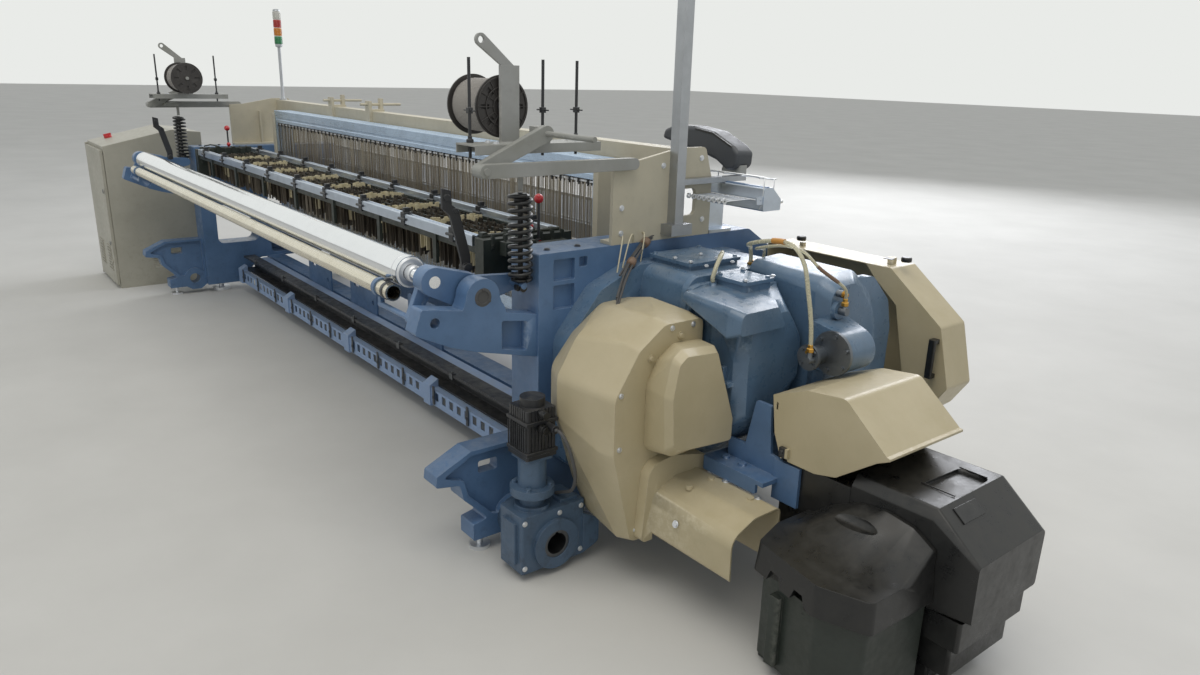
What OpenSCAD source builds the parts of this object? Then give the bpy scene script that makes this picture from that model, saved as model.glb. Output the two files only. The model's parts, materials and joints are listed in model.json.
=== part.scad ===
// Wide weaving loom, drawn at full size in millimetres.
// +X runs to the drive end, +Y to the cloth side, +Z up; the origin is under the centre foot.

/* [Frame] */
// Widest cloth that the reed can weave
reed_w = 3600; // [3200:50:4000]
// Room beyond the reed at each side, up to the side frame
reed_room = 280; // [260:5:340]
// Thickness of a side frame casting
frame_t = 170; // [150:5:200]
// Height of the side frames
frame_top = 1060; // [1040:5:1090]
// Reach of the side frames behind the origin
frame_back = 500; // [490:5:520]
// Reach of the side frames in front of the origin
frame_front = 820; // [800:5:860]
// Height of the levelling feet under the side frames
foot_h = 60; // [45:5:75]
// Height of the arch plates above the side frames
arch_h = 330; // [320:5:360]

/* [Shedding and beat-up] */
// Height of a heald frame over its two rails
heald_h = 480; // [440:10:500]
// Height of a heald frame's upper rail
heald_rail = 85; // [70:5:95]
// Thickness of a heald frame
heald_t = 12; // [9:1:14]
// Distance from one heald frame to the next
heald_pitch = 20; // [18:1:21]
// Healds drawn in each frame
heald_n = 56; // [30:1:80]
// Travel of a heald frame up and down
heald_lift = 40; // [20:5:45]
// Gaps drawn in the reed
reed_n = 110; // [60:5:118]
// Height of the reed
reed_h = 140; // [120:5:150]

/* [Warp side] */
// Diameter of the backrest roller
roller_d = 110; // [90:2:120]
// Height of the backrest roller's axis
roller_z = 990; // [970:5:1010]
// Diameter of the thin deflector tube
tube_d = 55; // [40:1:60]
// Wall of the deflector tube
tube_wall = 4; // [2:0.5:6]
// Wire of the warp tension spring
spring_wire = 13; // [8:1:15]
// Outside diameter of the warp tension spring
spring_d = 86; // [70:2:90]
// Turns of the warp tension spring
spring_turns = 9; // [6:1:11]
// Rows of droppers in the warp stop motion
dropper_rows = 6; // [4:1:6]
// Bunches of droppers in each row
dropper_n = 14; // [8:1:18]

/* [Cloth side] */
// Diameter of the take-up roller
takeup_d = 160; // [140:5:180]
// Diameter of the press roller
press_d = 70; // [60:2:80]
// Diameter of the cloth roller
cloth_d = 130; // [110:5:150]

/* [Drive end] */
// Length of the gear housing next to the frame
housing_a = 350; // [330:5:380]
// Length of the middle gear housing
housing_b = 300; // [280:5:320]
// Wall of the beige covers
cover_wall = 5; // [3:0.5:8]
// Length of the dobby's black case
dobby_len = 660; // [620:10:700]
// Side of the let-off motor's square body
motor_w = 120; // [100:5:130]

/* [Far end] */
// Width of the control cabinet
cabinet_w = 620; // [560:10:680]
// Height of the cabinet's front
cabinet_h = 1040; // [980:10:1100]
// Gap from the far frame to the cabinet
cabinet_gap = 300; // [260:10:340]

/* [Hidden] */
$fn = 48;

// Clearances: a running fit, a joint between bolted pieces, a gap between bodies, and a seam between covers
run = 0.05;
join = 0.15;
gap = 0.3;
seam = 3;

// Side frames
frame_in = reed_w / 2 + reed_room;
frame_out = frame_in + frame_t;
frame_plate = 45;
pocket = 22;
back_y = -frame_back;

// Arch over the healds
arch_y = 150;
arch_w = 80;
arch_z = frame_top + arch_h - 10 - arch_w;
plate_t = 16;
plate_y1 = arch_y + arch_w + 60;
feed_y = plate_y1 + 14;
feed_z = frame_top + 155;

// Heald frames hang just behind the arch beam
heald_y = 20;
heald_x = reed_w / 2 + 100;
heald_top = arch_z + 20;

// Low beams between the side frames
beam_z = 120;
beam_h = 120;
centre_w = 120;
front_beam_y = 430;

// Black rail and the ducts beside it
rail_y = -250;
rail_w = 80;
rail_z = 165;
rail_h = 100;
rail_end = frame_in - 60;

// Roller, tube and the rocker that carries them
roller_y = -840;
roller_end = frame_in - 90;
hub_y = -710;
hub_z = roller_z - 50;
hub_d = 60;
tube_y = roller_y - 65;
tube_z = roller_z - 62;
rocker_x = frame_in + 20;
rocker_t = 60;
hanger_x = roller_end - 110;
eye_y = -548;
eye_z = roller_z - 35;
spring_z0 = eye_z + 20;
spring_z1 = frame_top + 200;
spring_x = frame_out - 40;

// Warp stop motion
stop_end = reed_w / 2 + 80;
stop_y0 = -520;
stop_y1 = -150;
stop_z = frame_top - 60;
bar_w = 40;
row_y0 = stop_y0 + 65;
row_step = (stop_y1 - stop_y0 - 130) / 5;

// Sley
sley_y = 400;
sley_z = 450;
sley_beam_z = 880;
sley_shaft = 80;

// Cloth side
takeup_y = 700;
takeup_z = 560;
press_far = (takeup_d + press_d) / 2 + gap;
press_y = takeup_y - press_far * cos(25);
press_z = takeup_z + press_far * sin(25);
cloth_y = 690;
cloth_z = 330;
barrel_end = frame_in - 40;
journal_d = 50;
journal_in = 60;

// Drive end
flange_a = frame_out + 85;
end_a = frame_out + housing_a;
end_b = end_a + housing_b;
end_c = end_a + 350;
split_y = 149;
top_a = frame_top - 60;
cover_x1 = end_a + 100;
bulge_x1 = cover_x1 + 150;
collar_t = 40;
tube_x1 = cover_x1 + 390;
pump_x = end_c + 70;
pump_y = 102;
pump_z = 818;
dobby_x0 = end_c + 70;
dobby_x1 = dobby_x0 + dobby_len;
case_y0 = -105;
hood_z0 = 515;
case_y1 = 270;
side_x0 = tube_x1 + 45;
side_x1 = dobby_x1 - 112;
side_y0 = -425;

// Warp let-off
drive_y = -577;
drive_z = 112;
box_x0 = frame_out + 80;
box_x1 = box_x0 + 140;
box_y0 = -710;
box_y1 = -453;
box_z0 = 30;
box_z1 = 240;
worm_x = (box_x0 + box_x1) / 2;
motor_z1 = box_z1 + 194;
worm_y = box_y0 + 85;

// Bobbin stands
arm_z = frame_top + 285;
shelf_z = frame_top + 330;
shelf_y0 = -720;
shelf_y1 = -230;
shelf_x0 = frame_out - 150;
spool_r = 100;
spool_y = -540;
spool_z = shelf_z + 140;
spool_x0 = frame_in - 180;
spool_x1 = frame_in + 10;

// Control cabinet
cab_x1 = -frame_out - cabinet_gap;
cab_x0 = cab_x1 - cabinet_w;
cab_y0 = -1000;
cab_y1 = -330;
cab_ridge_y = -530;
cab_rise = 110;
door_t = 18;
door_axis_x = cab_x0 + 17;
door_axis_y = cab_y0 - 12;
switch_y = -880;
top_tilt = atan2(cab_rise, cab_ridge_y - cab_y0);

// Front guard
guard_y0 = 620;
guard_y1 = 770;
guard_x0 = frame_out + 20;
guard_pin_x = guard_x0 + 14;
guard_pin_y = guard_y1 + 14;
guard_knuckles = [330, 800];
guard_x1 = end_c + 180;

function unit(v) = v / norm(v);
function turned(d) = d > 180 ? d - 360 : d < -180 ? d + 360 : d;

// Points of one corner b between a and c, rounded to radius r or what its edges allow
function corner(a, b, c, r, n) =
    r == 0 ? [b] :
    let (u = unit(a - b), v = unit(c - b), half = acos(u * v) / 2)
    let (d = min(r / tan(half), 0.48 * norm(a - b), 0.48 * norm(c - b)), q = d * tan(half))
    let (m = b + unit(u + v) * q / sin(half))
    let (s = b + u * d - m, e = b + v * d - m)
    let (a0 = atan2(s.y, s.x), sweep = turned(atan2(e.y, e.x) - a0))
    [for (i = [0:n]) m + q * [cos(a0 + sweep * i / n), sin(a0 + sweep * i / n)]];

// Outline from points [x, y, corner radius]
function rounded(p, n) = [
    for (i = [0:len(p) - 1])
    let (a = p[(i + len(p) - 1) % len(p)], b = p[i], c = p[(i + 1) % len(p)])
    each corner([a.x, a.y], [b.x, b.y], [c.x, c.y], b.z, n)
];

module outline(p, n = 5) polygon(rounded(p, n));

// Rounded rectangle from corner a to corner b
module pane(a, b, r = 0)
    outline([[a.x, a.y, r], [b.x, a.y, r], [b.x, b.y, r], [a.x, b.y, r]]);

module block(a, b) translate(a) cube(b - a);

// Outlines in the YZ plane drawn along X, in XZ along Y, and in XY along Z
module along_x(x0, x1) translate([x0, 0, 0]) rotate([90, 0, 90]) linear_extrude(x1 - x0) children();
module along_y(y0, y1) translate([0, y1, 0]) rotate([90, 0, 0]) linear_extrude(y1 - y0) children();
module along_z(z0, z1) translate([0, 0, z0]) linear_extrude(z1 - z0) children();

module rod_x(x0, x1, y, z, d) translate([x0, y, z]) rotate([0, 90, 0]) cylinder(h = x1 - x0, d = d);
module rod_y(x, y0, y1, z, d) translate([x, y1, z]) rotate([90, 0, 0]) cylinder(h = y1 - y0, d = d);
module rod_z(x, y, z0, z1, d) translate([x, y, z0]) cylinder(h = z1 - z0, d = d);

// Flat link with round ends of radius r0 and r1
module link(p, q, r0, r1) {
    d = unit(q - p);
    s = [-d.y, d.x];
    translate(p) circle(r0);
    translate(q) circle(r1);
    polygon([p + s * r0, q + s * r1, q - s * r1, p - s * r0]);
}

// Slice of a shell for hull(), a thin outline at x
module slice(x, p) along_x(x, x + 0.5) outline(p, 4);

// Casting with legs, windows, outer pockets and the bores of the shafts
module side_frame() {
    bores = [[sley_y, sley_z, sley_shaft], [takeup_y, takeup_z, journal_d],
             [press_y, press_z, journal_d / 2], [cloth_y, cloth_z, journal_d]];
    difference() {
        along_x(frame_in, frame_out) outline([
            [back_y, foot_h, 0], [back_y, frame_top, 8], [520, frame_top, 40],
            [frame_front, frame_top - 190, 60], [frame_front, foot_h, 0],
            [frame_front - 200, foot_h, 0], [frame_front - 300, 230, 60],
            [-120, 230, 60], [back_y + 240, foot_h, 0]]);
        along_x(frame_in - 1, frame_out + 1) pane([-400, 360], [-110, 640], 40);
        along_x(frame_in - 1, frame_out + 1) pane([-20, 560], [300, 880], 50);
        along_x(frame_out - pocket, frame_out + 1) {
            pane([-440, 960], [-350, 1035], 6);
            pane([-440, 860], [-350, 945], 6);
            pane([-332, 1000], [-296, 1035], 6);
        }
        along_x(frame_in - 1, frame_out - frame_plate) {
            pane([-460, 670], [-60, frame_top - 40], 30);
            pane([-20, 260], [340, 400], 30);
            pane([470, 680], [760, 820], 30);
        }
        for (b = bores) rod_x(frame_in - 1, frame_in + journal_in + 5, b[0], b[1], b[2] + 2 * run);
    }
}

// Lug for the guard's hinge pins
module guard_lugs() for (z = guard_knuckles) difference() {
    union() {
        block([frame_out, guard_pin_y - 12, z - 30], [guard_pin_x, guard_pin_y + 12, z]);
        rod_z(guard_pin_x, guard_pin_y, z - 30, z, 24);
    }
    rod_z(guard_pin_x, guard_pin_y, z - 31, z + 1, 10 + 2 * run);
}

module side_frame_near() color("#5f83b8") {
    side_frame();
    guard_lugs();
}
module side_frame_far() color("#5f83b8") mirror([1, 0, 0]) side_frame();

// Box beams between the frames, upright panels and the centre foot
module cross_members() color("#5274a8") {
    difference() {
        union() {
            block([-frame_in, -centre_w / 2, beam_z], [frame_in, centre_w / 2, beam_z + beam_h]);
            rod_z(0, 0, 20, beam_z, 40);
            rod_z(0, 0, 0, 22, 120);
        }
        block([-frame_in - 1, -centre_w / 2 + 8, beam_z + 8], [-80, centre_w / 2 - 8, beam_z + beam_h - 8]);
        block([80, -centre_w / 2 + 8, beam_z + 8], [frame_in + 1, centre_w / 2 - 8, beam_z + beam_h - 8]);
    }
    difference() {
        block([-frame_in, front_beam_y, beam_z], [frame_in, front_beam_y + centre_w, beam_z + beam_h]);
        block([-frame_in - 1, front_beam_y + 8, beam_z + 8],
              [frame_in + 1, front_beam_y + centre_w - 8, beam_z + beam_h - 8]);
    }
    for (x = [-1150, -450, 350, 1450])
        along_y(-centre_w / 2 - 12 - join, -centre_w / 2 - join) difference() {
            outline([[x, beam_z + 20, 4], [x + 380, beam_z + 20, 4], [x + 380, beam_z + 250, 4],
                     [x + 300, beam_z + 340, 4], [x, beam_z + 340, 4]]);
            pane([x + 60, beam_z + 230], [x + 130, beam_z + 280], 10);
            translate([x + 330, beam_z + 180]) circle(d = 30);
        }
}

// Black channel with flat bars to the centre beam
module harness_rail() color("#222326") {
    along_x(-rail_end, rail_end) difference() {
        pane([rail_y, rail_z], [rail_y + rail_w, rail_z + rail_h]);
        pane([rail_y - 1, rail_z + 8], [rail_y + rail_w - 8, rail_z + rail_h - 14]);
    }
    for (i = [-3:3])
        block([i * 600 - 30, rail_y + rail_w, rail_z + 10], [i * 600 + 30, -centre_w / 2 - 12 - join, rail_z + 22]);
}

// Slotted duct in front of the rail, its dark clamps, and the cream duct behind
module cable_ducts() {
    duct_z0 = rail_z - 82;
    duct_y = rail_y - 40;
    clamps = 5;
    pitch = 2 * (rail_end - 40) / (clamps - 1);
    slots = 12;
    step = (pitch - 130) / slots;
    color("#8fa9cf") for (i = [0:clamps - 2]) {
        x0 = -rail_end + 40 + i * pitch + 34;
        x1 = x0 + pitch - 68;
        block([x0, duct_y + 3, duct_z0], [x1, duct_y + 38, duct_z0 + 3]);
        along_y(duct_y, duct_y + 3) difference() {
            pane([x0, duct_z0], [x1, rail_z - 0.5]);
            for (k = [0:slots - 1])
                translate([x0 + 35 + k * step, duct_z0 + 30]) square([step * 0.5, 40]);
        }
        block([x0, duct_y + 3, rail_z - 3.5], [x1, duct_y + 38, rail_z - 0.5]);
    }
    color("#2c2e33") for (i = [0:clamps - 1]) {
        x = -rail_end + 40 + i * pitch;
        along_x(x - 34, x + 34) outline([
            [duct_y - 8, duct_z0 - 10, 3], [rail_y + 20, duct_z0 - 10, 3], [rail_y + 20, rail_z, 0],
            [rail_y, rail_z, 0], [rail_y, rail_z + 40, 2], [duct_y - 8, rail_z + 12, 3]]);
    }
    color("#cfc6a8")
        block([-rail_end, rail_y + rail_w + 4, rail_z + 22], [rail_end, -centre_w / 2 - 14, rail_z + 70]);
}

// Casting that takes the warp beam, with a nose, a window, ribs and a drive boss
module beam_cradle() {
    x0 = frame_in + 50;
    x1 = frame_out - 30;
    body = [[back_y, 60, 0], [back_y, 400, 0], [-755, 400, 10], [-885, 340, 8], [-890, 300, 8],
            [-800, 285, 14], [-785, 225, 14], [-690, 130, 8], [-750, 118, 6], [-750, 55, 6],
            [-640, 55, 6], [-600, 30, 20], [-540, 30, 20]];
    difference() {
        union() {
            along_x(x0 + 22, x1 - 22) outline(body);
            along_x(x0, x1) difference() {
                outline(body);
                outline([[back_y - 14, 110, 10], [back_y - 14, 384, 8], [-750, 384, 8], [-862, 326, 6],
                         [-784, 298, 6], [-766, 236, 10], [-670, 140, 10]]);
            }
            rod_x(x0, x1, drive_y, drive_z, 150);
        }
        along_x(x0 - 1, x1 + 1) pane([-715, 300], [-640, 345], 8);
        rod_x(x0 - 1, x1 + 1, drive_y, drive_z, 70);
    }
}

// Box bracket on the frame, with the plate and boss that carry the rocker's hub
module backrest_bracket() {
    x0 = frame_in + 10;
    x1 = rocker_x + rocker_t + 10;
    x2 = frame_out - 10;
    difference() {
        along_x(x0, x1) outline([[back_y, 700, 0], [back_y, 818, 0], [-800, 818, 10], [-830, 790, 10], [-740, 760, 20]]);
        along_x(x0 + 12, x1 + 1) outline([[-520, 725, 8], [-520, 819, 0], [-760, 819, 0], [-735, 780, 8]]);
    }
    difference() {
        along_x(x1, x2) {
            outline([[back_y, 700, 0], [back_y, 852, 0], [-690, 890, 20], [-880, 922, 10], [-930, 930, 10],
                     [-955, 850, 10], [-830, 790, 10], [-740, 760, 20]]);
            link([hub_y, hub_z], [hub_y, 860], 62, 90);
        }
        rod_x(x1 - 1, x2 + 1, hub_y, hub_z, hub_d + 2 * run);
        rod_x(x1 - 1, x2 + 1, -885, 880, 34);
        along_x(x1 + 30, x2 + 1) outline([[-540, 730, 6], [-540, 835, 6], [-640, 850, 6], [-640, 752, 6]]);
    }
}

module rear_brackets() color("#5b7fb4") for (s = [0, 1]) mirror([s, 0, 0]) {
    beam_cradle();
    backrest_bracket();
}

// Screwed feet under the frames and the cradles
module levelling_feet() color("#8d9096") for (s = [-1, 1]) {
    for (y = [back_y + 110, frame_front - 100]) {
        rod_z(s * (frame_in + frame_t / 2), y, 0, 22, 120);
        rod_z(s * (frame_in + frame_t / 2), y, 22, foot_h, 40);
    }
    rod_z(s * (frame_in + frame_t / 2 + 10), -700, 0, 14, 76);
    rod_z(s * (frame_in + frame_t / 2 + 10), -700, 14, 55, 20);
}

// Gear housing bolted to the near frame: a broad flange, a body and a joint face
module gear_housing_inner() color("#56708f") {
    along_x(frame_out, flange_a) outline([
        [-440, 300, 60], [-440, 760, 90], [-300, 930, 60], [-130, top_a, 60], [420, top_a, 90],
        [500, 880, 60], [500, 260, 60], [-300, 260, 60]]);
    along_x(flange_a, end_a - 25) outline([
        [-370, 280, 50], [-370, 740, 60], [-290, 830, 40], [-125, 850, 10], [-105, top_a, 50],
        [400, top_a, 90], [480, 860, 60], [480, 280, 60]]);
    along_x(end_a - 25, end_a) outline([
        [-150, 340, 50], [-150, top_a - 25, 70], [-110, top_a + 5, 50], [420, top_a + 5, 90],
        [500, 860, 60], [500, 340, 60]]);
    cover_plate(flange_a - 45, -50, end_a - 90, 205, top_a);
    for (p = [[50, 210], [40, 260]]) rod_z(end_a - p[0], p[1], top_a - 10, top_a + 5, 24);
    for (y = [-95, 60, 230, 380]) rod_x(end_a - 37, end_a - 25, y, top_a - 14, 20);
}

// Flat cover with screws on a raised rim
module cover_plate(x0, y0, x1, y1, z) {
    along_z(z - 12, z + 14) pane([x0 + 8, y0 + 8], [x1 - 8, y1 - 8], 10);
    along_z(z + 14, z + 26) pane([x0, y0], [x1, y1], 12);
    for (x = [x0 + 18, x1 - 18], y = [y0 + 18, y1 - 18]) rod_z(x, y, z + 26, z + 32, 16);
}

// Tapered gear housing, drawn from three sections
module gear_housing_middle() color("#5b7ba3") {
    right = split_y - 3;
    along_x(end_a, end_a + 25) outline([
        [-150, 340, 50], [-150, top_a - 25, 20], [-110, top_a - 15, 20], [right - 30, top_a - 15, 0], [right - 30, 340, 0]]);
    hull() {
        slice(end_a + 15, [[-135, 360, 50], [-135, top_a - 40, 40], [right, top_a - 15, 4], [right, 360, 4]]);
        slice(end_a + 130, [[-150, 430, 60], [-150, 780, 30], [-148, top_a - 30, 30], [right, top_a - 15, 4], [right, 420, 4]]);
    }
    hull() {
        slice(end_a + 125, [[-150, 430, 60], [-150, top_a - 34, 30], [right, top_a - 20, 4], [right, 420, 4]]);
        slice(end_b - 70, [[-150, 560, 30], [-152, 780, 60], [-140, 958, 16], [60, 962, 16], [right, 850, 14],
                           [right, 655, 14], [-60, 545, 20]]);
        slice(end_b - 30, [[-120, 600, 20], [-125, 780, 40], [-110, 925, 20], [45, 930, 20], [120, 826, 14],
                           [120, 700, 14], [-50, 575, 20]]);
    }
    hull() {
        slice(end_a + 20, [[-186, 940, 4], [-182, top_a - 30, 20], [0, top_a - 18, 4], [0, 940, 4]]);
        slice(end_b - 60, [[-206, 868, 10], [-200, top_a - 34, 26], [20, top_a - 32, 10], [20, 868, 4]]);
        slice(end_b - 14, [[-190, 884, 14], [-186, top_a - 46, 26], [-20, top_a - 44, 14], [20, 884, 10]]);
    }
    cover_plate(end_a + 12, -45, end_a + 160, 100, top_a - 16);
    along_x(end_a + 190, end_a + 205) outline([[-168, 690, 6], [-168, 760, 6], [-140, 760, 0], [-140, 690, 0]]);
    rod_z(end_a + 30, -60, top_a - 60, top_a - 12, 24);
    block([end_a + 196, -176, 700], [end_a + 236, -140, 712]);
    rod_z(end_a + 226, -160, 700, 718, 20);
}

// Broad outer housing with the pump's boss and a round shoulder
module gear_housing_outer() color("#56759c") {
    s = split_y;
    hull() {
        slice(end_a, [[s, 400, 0], [s, 1035, 40], [330, 1045, 70], [470, 860, 70], [490, 400, 50]]);
        slice(end_c - 60, [[s, 430, 0], [s, 1030, 50], [330, 1038, 60], [440, 955, 70], [505, 820, 80], [505, 640, 60], [480, 430, 50]]);
        slice(end_c - 10.5, [[s + 20, 470, 30], [s + 20, 995, 50], [295, 1008, 60], [395, 905, 70], [430, 760, 80], [420, 470, 60]]);
    }
    along_x(end_a + 90, end_c - 78) outline([[400, 440, 10], [400, 940, 10], [480, 920, 60], [545, 800, 60], [545, 440, 20]]);
    along_x(end_c - 78, end_c - 46) outline([
        [320, 560, 0], [320, 1008, 20], [440, 1004, 50], [545, 905, 50], [575, 800, 50], [570, 560, 20]]);
    hull() {
        rod_y(pump_x, pump_y, pump_y + 120, pump_z, 138);
        block([end_c - 40, pump_y + 10, pump_z - 80], [end_c - 11, pump_y + 160, pump_z + 80]);
    }
    rod_x(end_c - 40, end_c + 6, s + 50, pump_z + 110, 60);
}

// Flanged pump with screws and brass unions
module oil_pump() color("#7d858c") {
    y = pump_y - join;
    rod_y(pump_x, y - 12, y, pump_z, 144);
    for (a = [20:60:320])
        rod_y(pump_x + 58 * cos(a), y - 19, y - 12, pump_z + 58 * sin(a), 14);
    rod_y(pump_x - 44, y - 62, y - 12, pump_z - 14, 60);
    rod_y(pump_x - 44, y - 72, y - 62, pump_z - 14, 84);
    for (a = [45:90:315])
        rod_y(pump_x - 44 + 32 * cos(a), y - 78, y - 72, pump_z - 14 + 32 * sin(a), 12);
    rod_y(pump_x - 24, y - 100, y - 72, pump_z - 14, 22);
    rod_z(pump_x - 24, y - 90, pump_z - 14, pump_z + 14, 18);
    rod_x(end_c + 6 + join, end_c + 34, split_y + 50, pump_z + 110, 26);
    rod_z(end_c + 22, split_y + 50, pump_z + 110, pump_z + 134, 16);
    rod_x(end_c - 10, end_c + 12, split_y + 50, pump_z + 165, 24);
}

// Points of the two oil tubes and the vent hose, chosen by hand
union_x = pump_x - 24;
union_y = pump_y - 90;
tube_route_a = [[union_x, union_y, pump_z + 15], [union_x, union_y, pump_z + 42], [union_x - 6, union_y - 2, pump_z + 110],
                [union_x - 24, union_y - 6, pump_z + 200], [union_x - 46, union_y - 8, pump_z + 280],
                [union_x - 92, union_y - 8, pump_z + 330], [union_x - 160, union_y, pump_z + 336],
                [union_x - 250, union_y + 16, pump_z + 318], [union_x - 340, union_y + 60, pump_z + 290],
                [end_a - 30, 180, top_a + 70], [end_a - 50, 210, top_a + 7]];
tube_route_b = [[end_c + 22, split_y + 50, pump_z + 135], [end_c + 22, split_y + 50, pump_z + 152],
                [end_c + 34, split_y + 20, pump_z + 196], [end_c + 10, union_y + 60, pump_z + 262],
                [end_c - 40, union_y + 34, pump_z + 310], [end_c - 114, union_y + 40, pump_z + 316],
                [end_c - 204, union_y + 56, pump_z + 298], [end_c - 290, union_y + 96, pump_z + 272],
                [end_a - 20, 240, top_a + 60], [end_a - 40, 260, top_a + 7]];
hose_route = [[end_a + 30, -60, top_a - 9.5], [end_a + 30, -61, top_a + 8], [end_a + 24, -40, top_a + 44],
              [end_a - 6, 10, top_a + 66], [end_a - 60, 70, top_a + 60], [end_a - 100, 100, top_a + 34]];

function bend(p, i, t) =
    let (a = p[max(i - 1, 0)], b = p[i], c = p[i + 1], d = p[min(i + 2, len(p) - 1)])
    0.5 * (2 * b + (c - a) * t + (2 * a - 5 * b + 4 * c - d) * t * t + (3 * b - a - 3 * c + d) * t * t * t);
function smooth(p, n) = concat(
    [for (i = [0:len(p) - 2], k = [0:n - 1]) bend(p, i, k / n)], [p[len(p) - 1]]);
function heading(p, i) = unit(p[min(i + 1, len(p) - 1)] - p[max(i - 1, 0)]);

// Tube with n sides along the points p
module sweep(p, r, n, ref = [0, 1, 0]) {
    rings = [for (i = [0:len(p) - 1])
        let (t = heading(p, i), u = unit(cross(t, ref)), v = cross(t, u))
        each [for (k = [0:n - 1]) p[i] + r * (u * cos(360 * k / n) + v * sin(360 * k / n))]];
    m = len(p);
    sides = [for (i = [0:m - 2], k = [0:n - 1])
        [i * n + k, (i + 1) * n + k, (i + 1) * n + (k + 1) % n, i * n + (k + 1) % n]];
    polyhedron(rings, concat(sides, [[for (k = [0:n - 1]) k]], [[for (k = [n - 1:-1:0]) (m - 1) * n + k]]),
               convexity = 6);
}

module oil_tubes() color("#c9c7b0") {
    sweep(smooth(tube_route_a, 2), 7, 8);
    sweep(smooth(tube_route_b, 2), 5, 8);
    sweep(smooth(hose_route, 2), 8, 8);
}

// Sections of the big beige cover: at the frame, at its widest and at its end, set in by w
function cover_rim(w) = [
    [-155, 890 - w, 20], [-300, 885 - w, 60], [-420 + w, 800 - w, 60], [-505 + w, 700, 70],
    [-505 + w, 560, 60], [-400 + w, 230 + w, 40], [-155, 230 + w, 10]];
function cover_wide(w) = [
    [-155, 915 - w, 20], [-340, 905 - w, 80], [-480 + w, 830 - w, 80], [-560 + w, 700, 80],
    [-560 + w, 560, 60], [-425 + w, 170 + w, 40], [-155, 170 + w, 10]];
function cover_end(w) = [
    [-165, 900 - w, 20], [-330, 900 - w, 60], [-430 + w, 830 - w, 40], [-522 + w, 690, 60],
    [-522 + w, 500, 60], [-440 + w, 175 + w, 30], [-165, 175 + w, 10]];

module drive_cover() color("#b9ab87") difference() {
    hull() {
        slice(flange_a, cover_rim(0));
        slice(flange_a + 110, cover_wide(0));
        slice(cover_x1 - 60, cover_end(-12));
        slice(cover_x1 - 0.5, cover_end(0));
    }
    hull() {
        slice(flange_a - 1, cover_rim(cover_wall));
        slice(flange_a + 110, cover_wide(cover_wall));
        slice(cover_x1 - 60, cover_end(cover_wall - 12));
        slice(cover_x1 - cover_wall - 0.5, cover_end(cover_wall));
    }
    block([flange_a - 2, -250, 100], [end_a + 5, 0, 880]);
}

// Blister bolted on the cover's end face
module drive_cover_bulge() color("#b9ab87") {
    x1 = bulge_x1;
    difference() {
        hull() {
            slice(cover_x1, [[-400, 486, 40], [-400, 715, 60], [-362, 790, 50], [-295, 836, 40], [-165, 830, 20], [-157, 480, 10]]);
            slice(x1 - 36, [[-412, 512, 40], [-428, 715, 60], [-402, 836, 40], [-365, 858, 30], [-225, 848, 14], [-157, 650, 14],
                            [-157, 506, 12]]);
            slice(x1 - 0.5, [[-376, 540, 20], [-410, 562, 20], [-422, 715, 50], [-402, 822, 30], [-372, 844, 20], [-243, 836, 12],
                             [-228, 765, 10], [-157, 600, 14], [-157, 524, 12]]);
        }
        hull() {
            slice(cover_x1 - 1, [[-394, 492, 36], [-394, 714, 56], [-357, 785, 46], [-294, 830, 36], [-150, 824, 16], [-150, 460, 10]]);
            slice(x1 - 40, [[-406, 518, 36], [-421, 714, 56], [-397, 830, 36], [-363, 852, 26], [-150, 842, 10], [-150, 460, 10]]);
            slice(x1 - 6, [[-372, 546, 16], [-404, 566, 16], [-416, 715, 46], [-396, 818, 26], [-370, 838, 16], [-150, 830, 10],
                           [-150, 460, 10]]);
        }
    }
    for (p = [[-384, 800], [-262, 856], [-324, 484]]) {
        rod_x(cover_x1, cover_x1 + 3, p[0], p[1], 26);
        rod_x(cover_x1 + 3, cover_x1 + 9, p[0], p[1], 16);
    }
}

// Collar and rectangular cover of the dobby's drive shaft, open below
module shaft_cover() color("#b9ab87") {
    collar = [[-428, 185, 20], [-404, 452, 60], [-300, 466, 50], [-140, 430, 30], [-140, 185, 10]];
    tube = [[-384, 202, 16], [-388, 348, 54], [-292, 392, 50], [-176, 394, 20], [-172, 202, 0]];
    difference() {
        along_x(cover_x1, cover_x1 + collar_t) outline(collar);
        along_x(cover_x1 - 1, cover_x1 + collar_t + 1) outline([
            [-402, 150, 0], [-392, 430, 50], [-300, 440, 40], [-166, 408, 20], [-166, 150, 0]]);
    }
    difference() {
        along_x(cover_x1 + collar_t - 6, cover_x1 + collar_t) outline(collar);
        along_x(cover_x1, cover_x1 + collar_t + 1) outline([
            [-378, 150, 0], [-382, 346, 50], [-290, 386, 46], [-182, 388, 16], [-178, 150, 0]]);
    }
    difference() {
        along_x(cover_x1 + collar_t, tube_x1) outline(tube);
        along_x(cover_x1 + collar_t - 1, tube_x1 + 1) outline([
            [-378, 190, 0], [-382, 346, 50], [-290, 386, 46], [-182, 388, 16], [-178, 190, 0]]);
    }
    for (p = [[130, -215], [300, -215], [130, -312]])
        rod_z(cover_x1 + p[0], p[1], 385, 399, 22);
}

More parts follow.
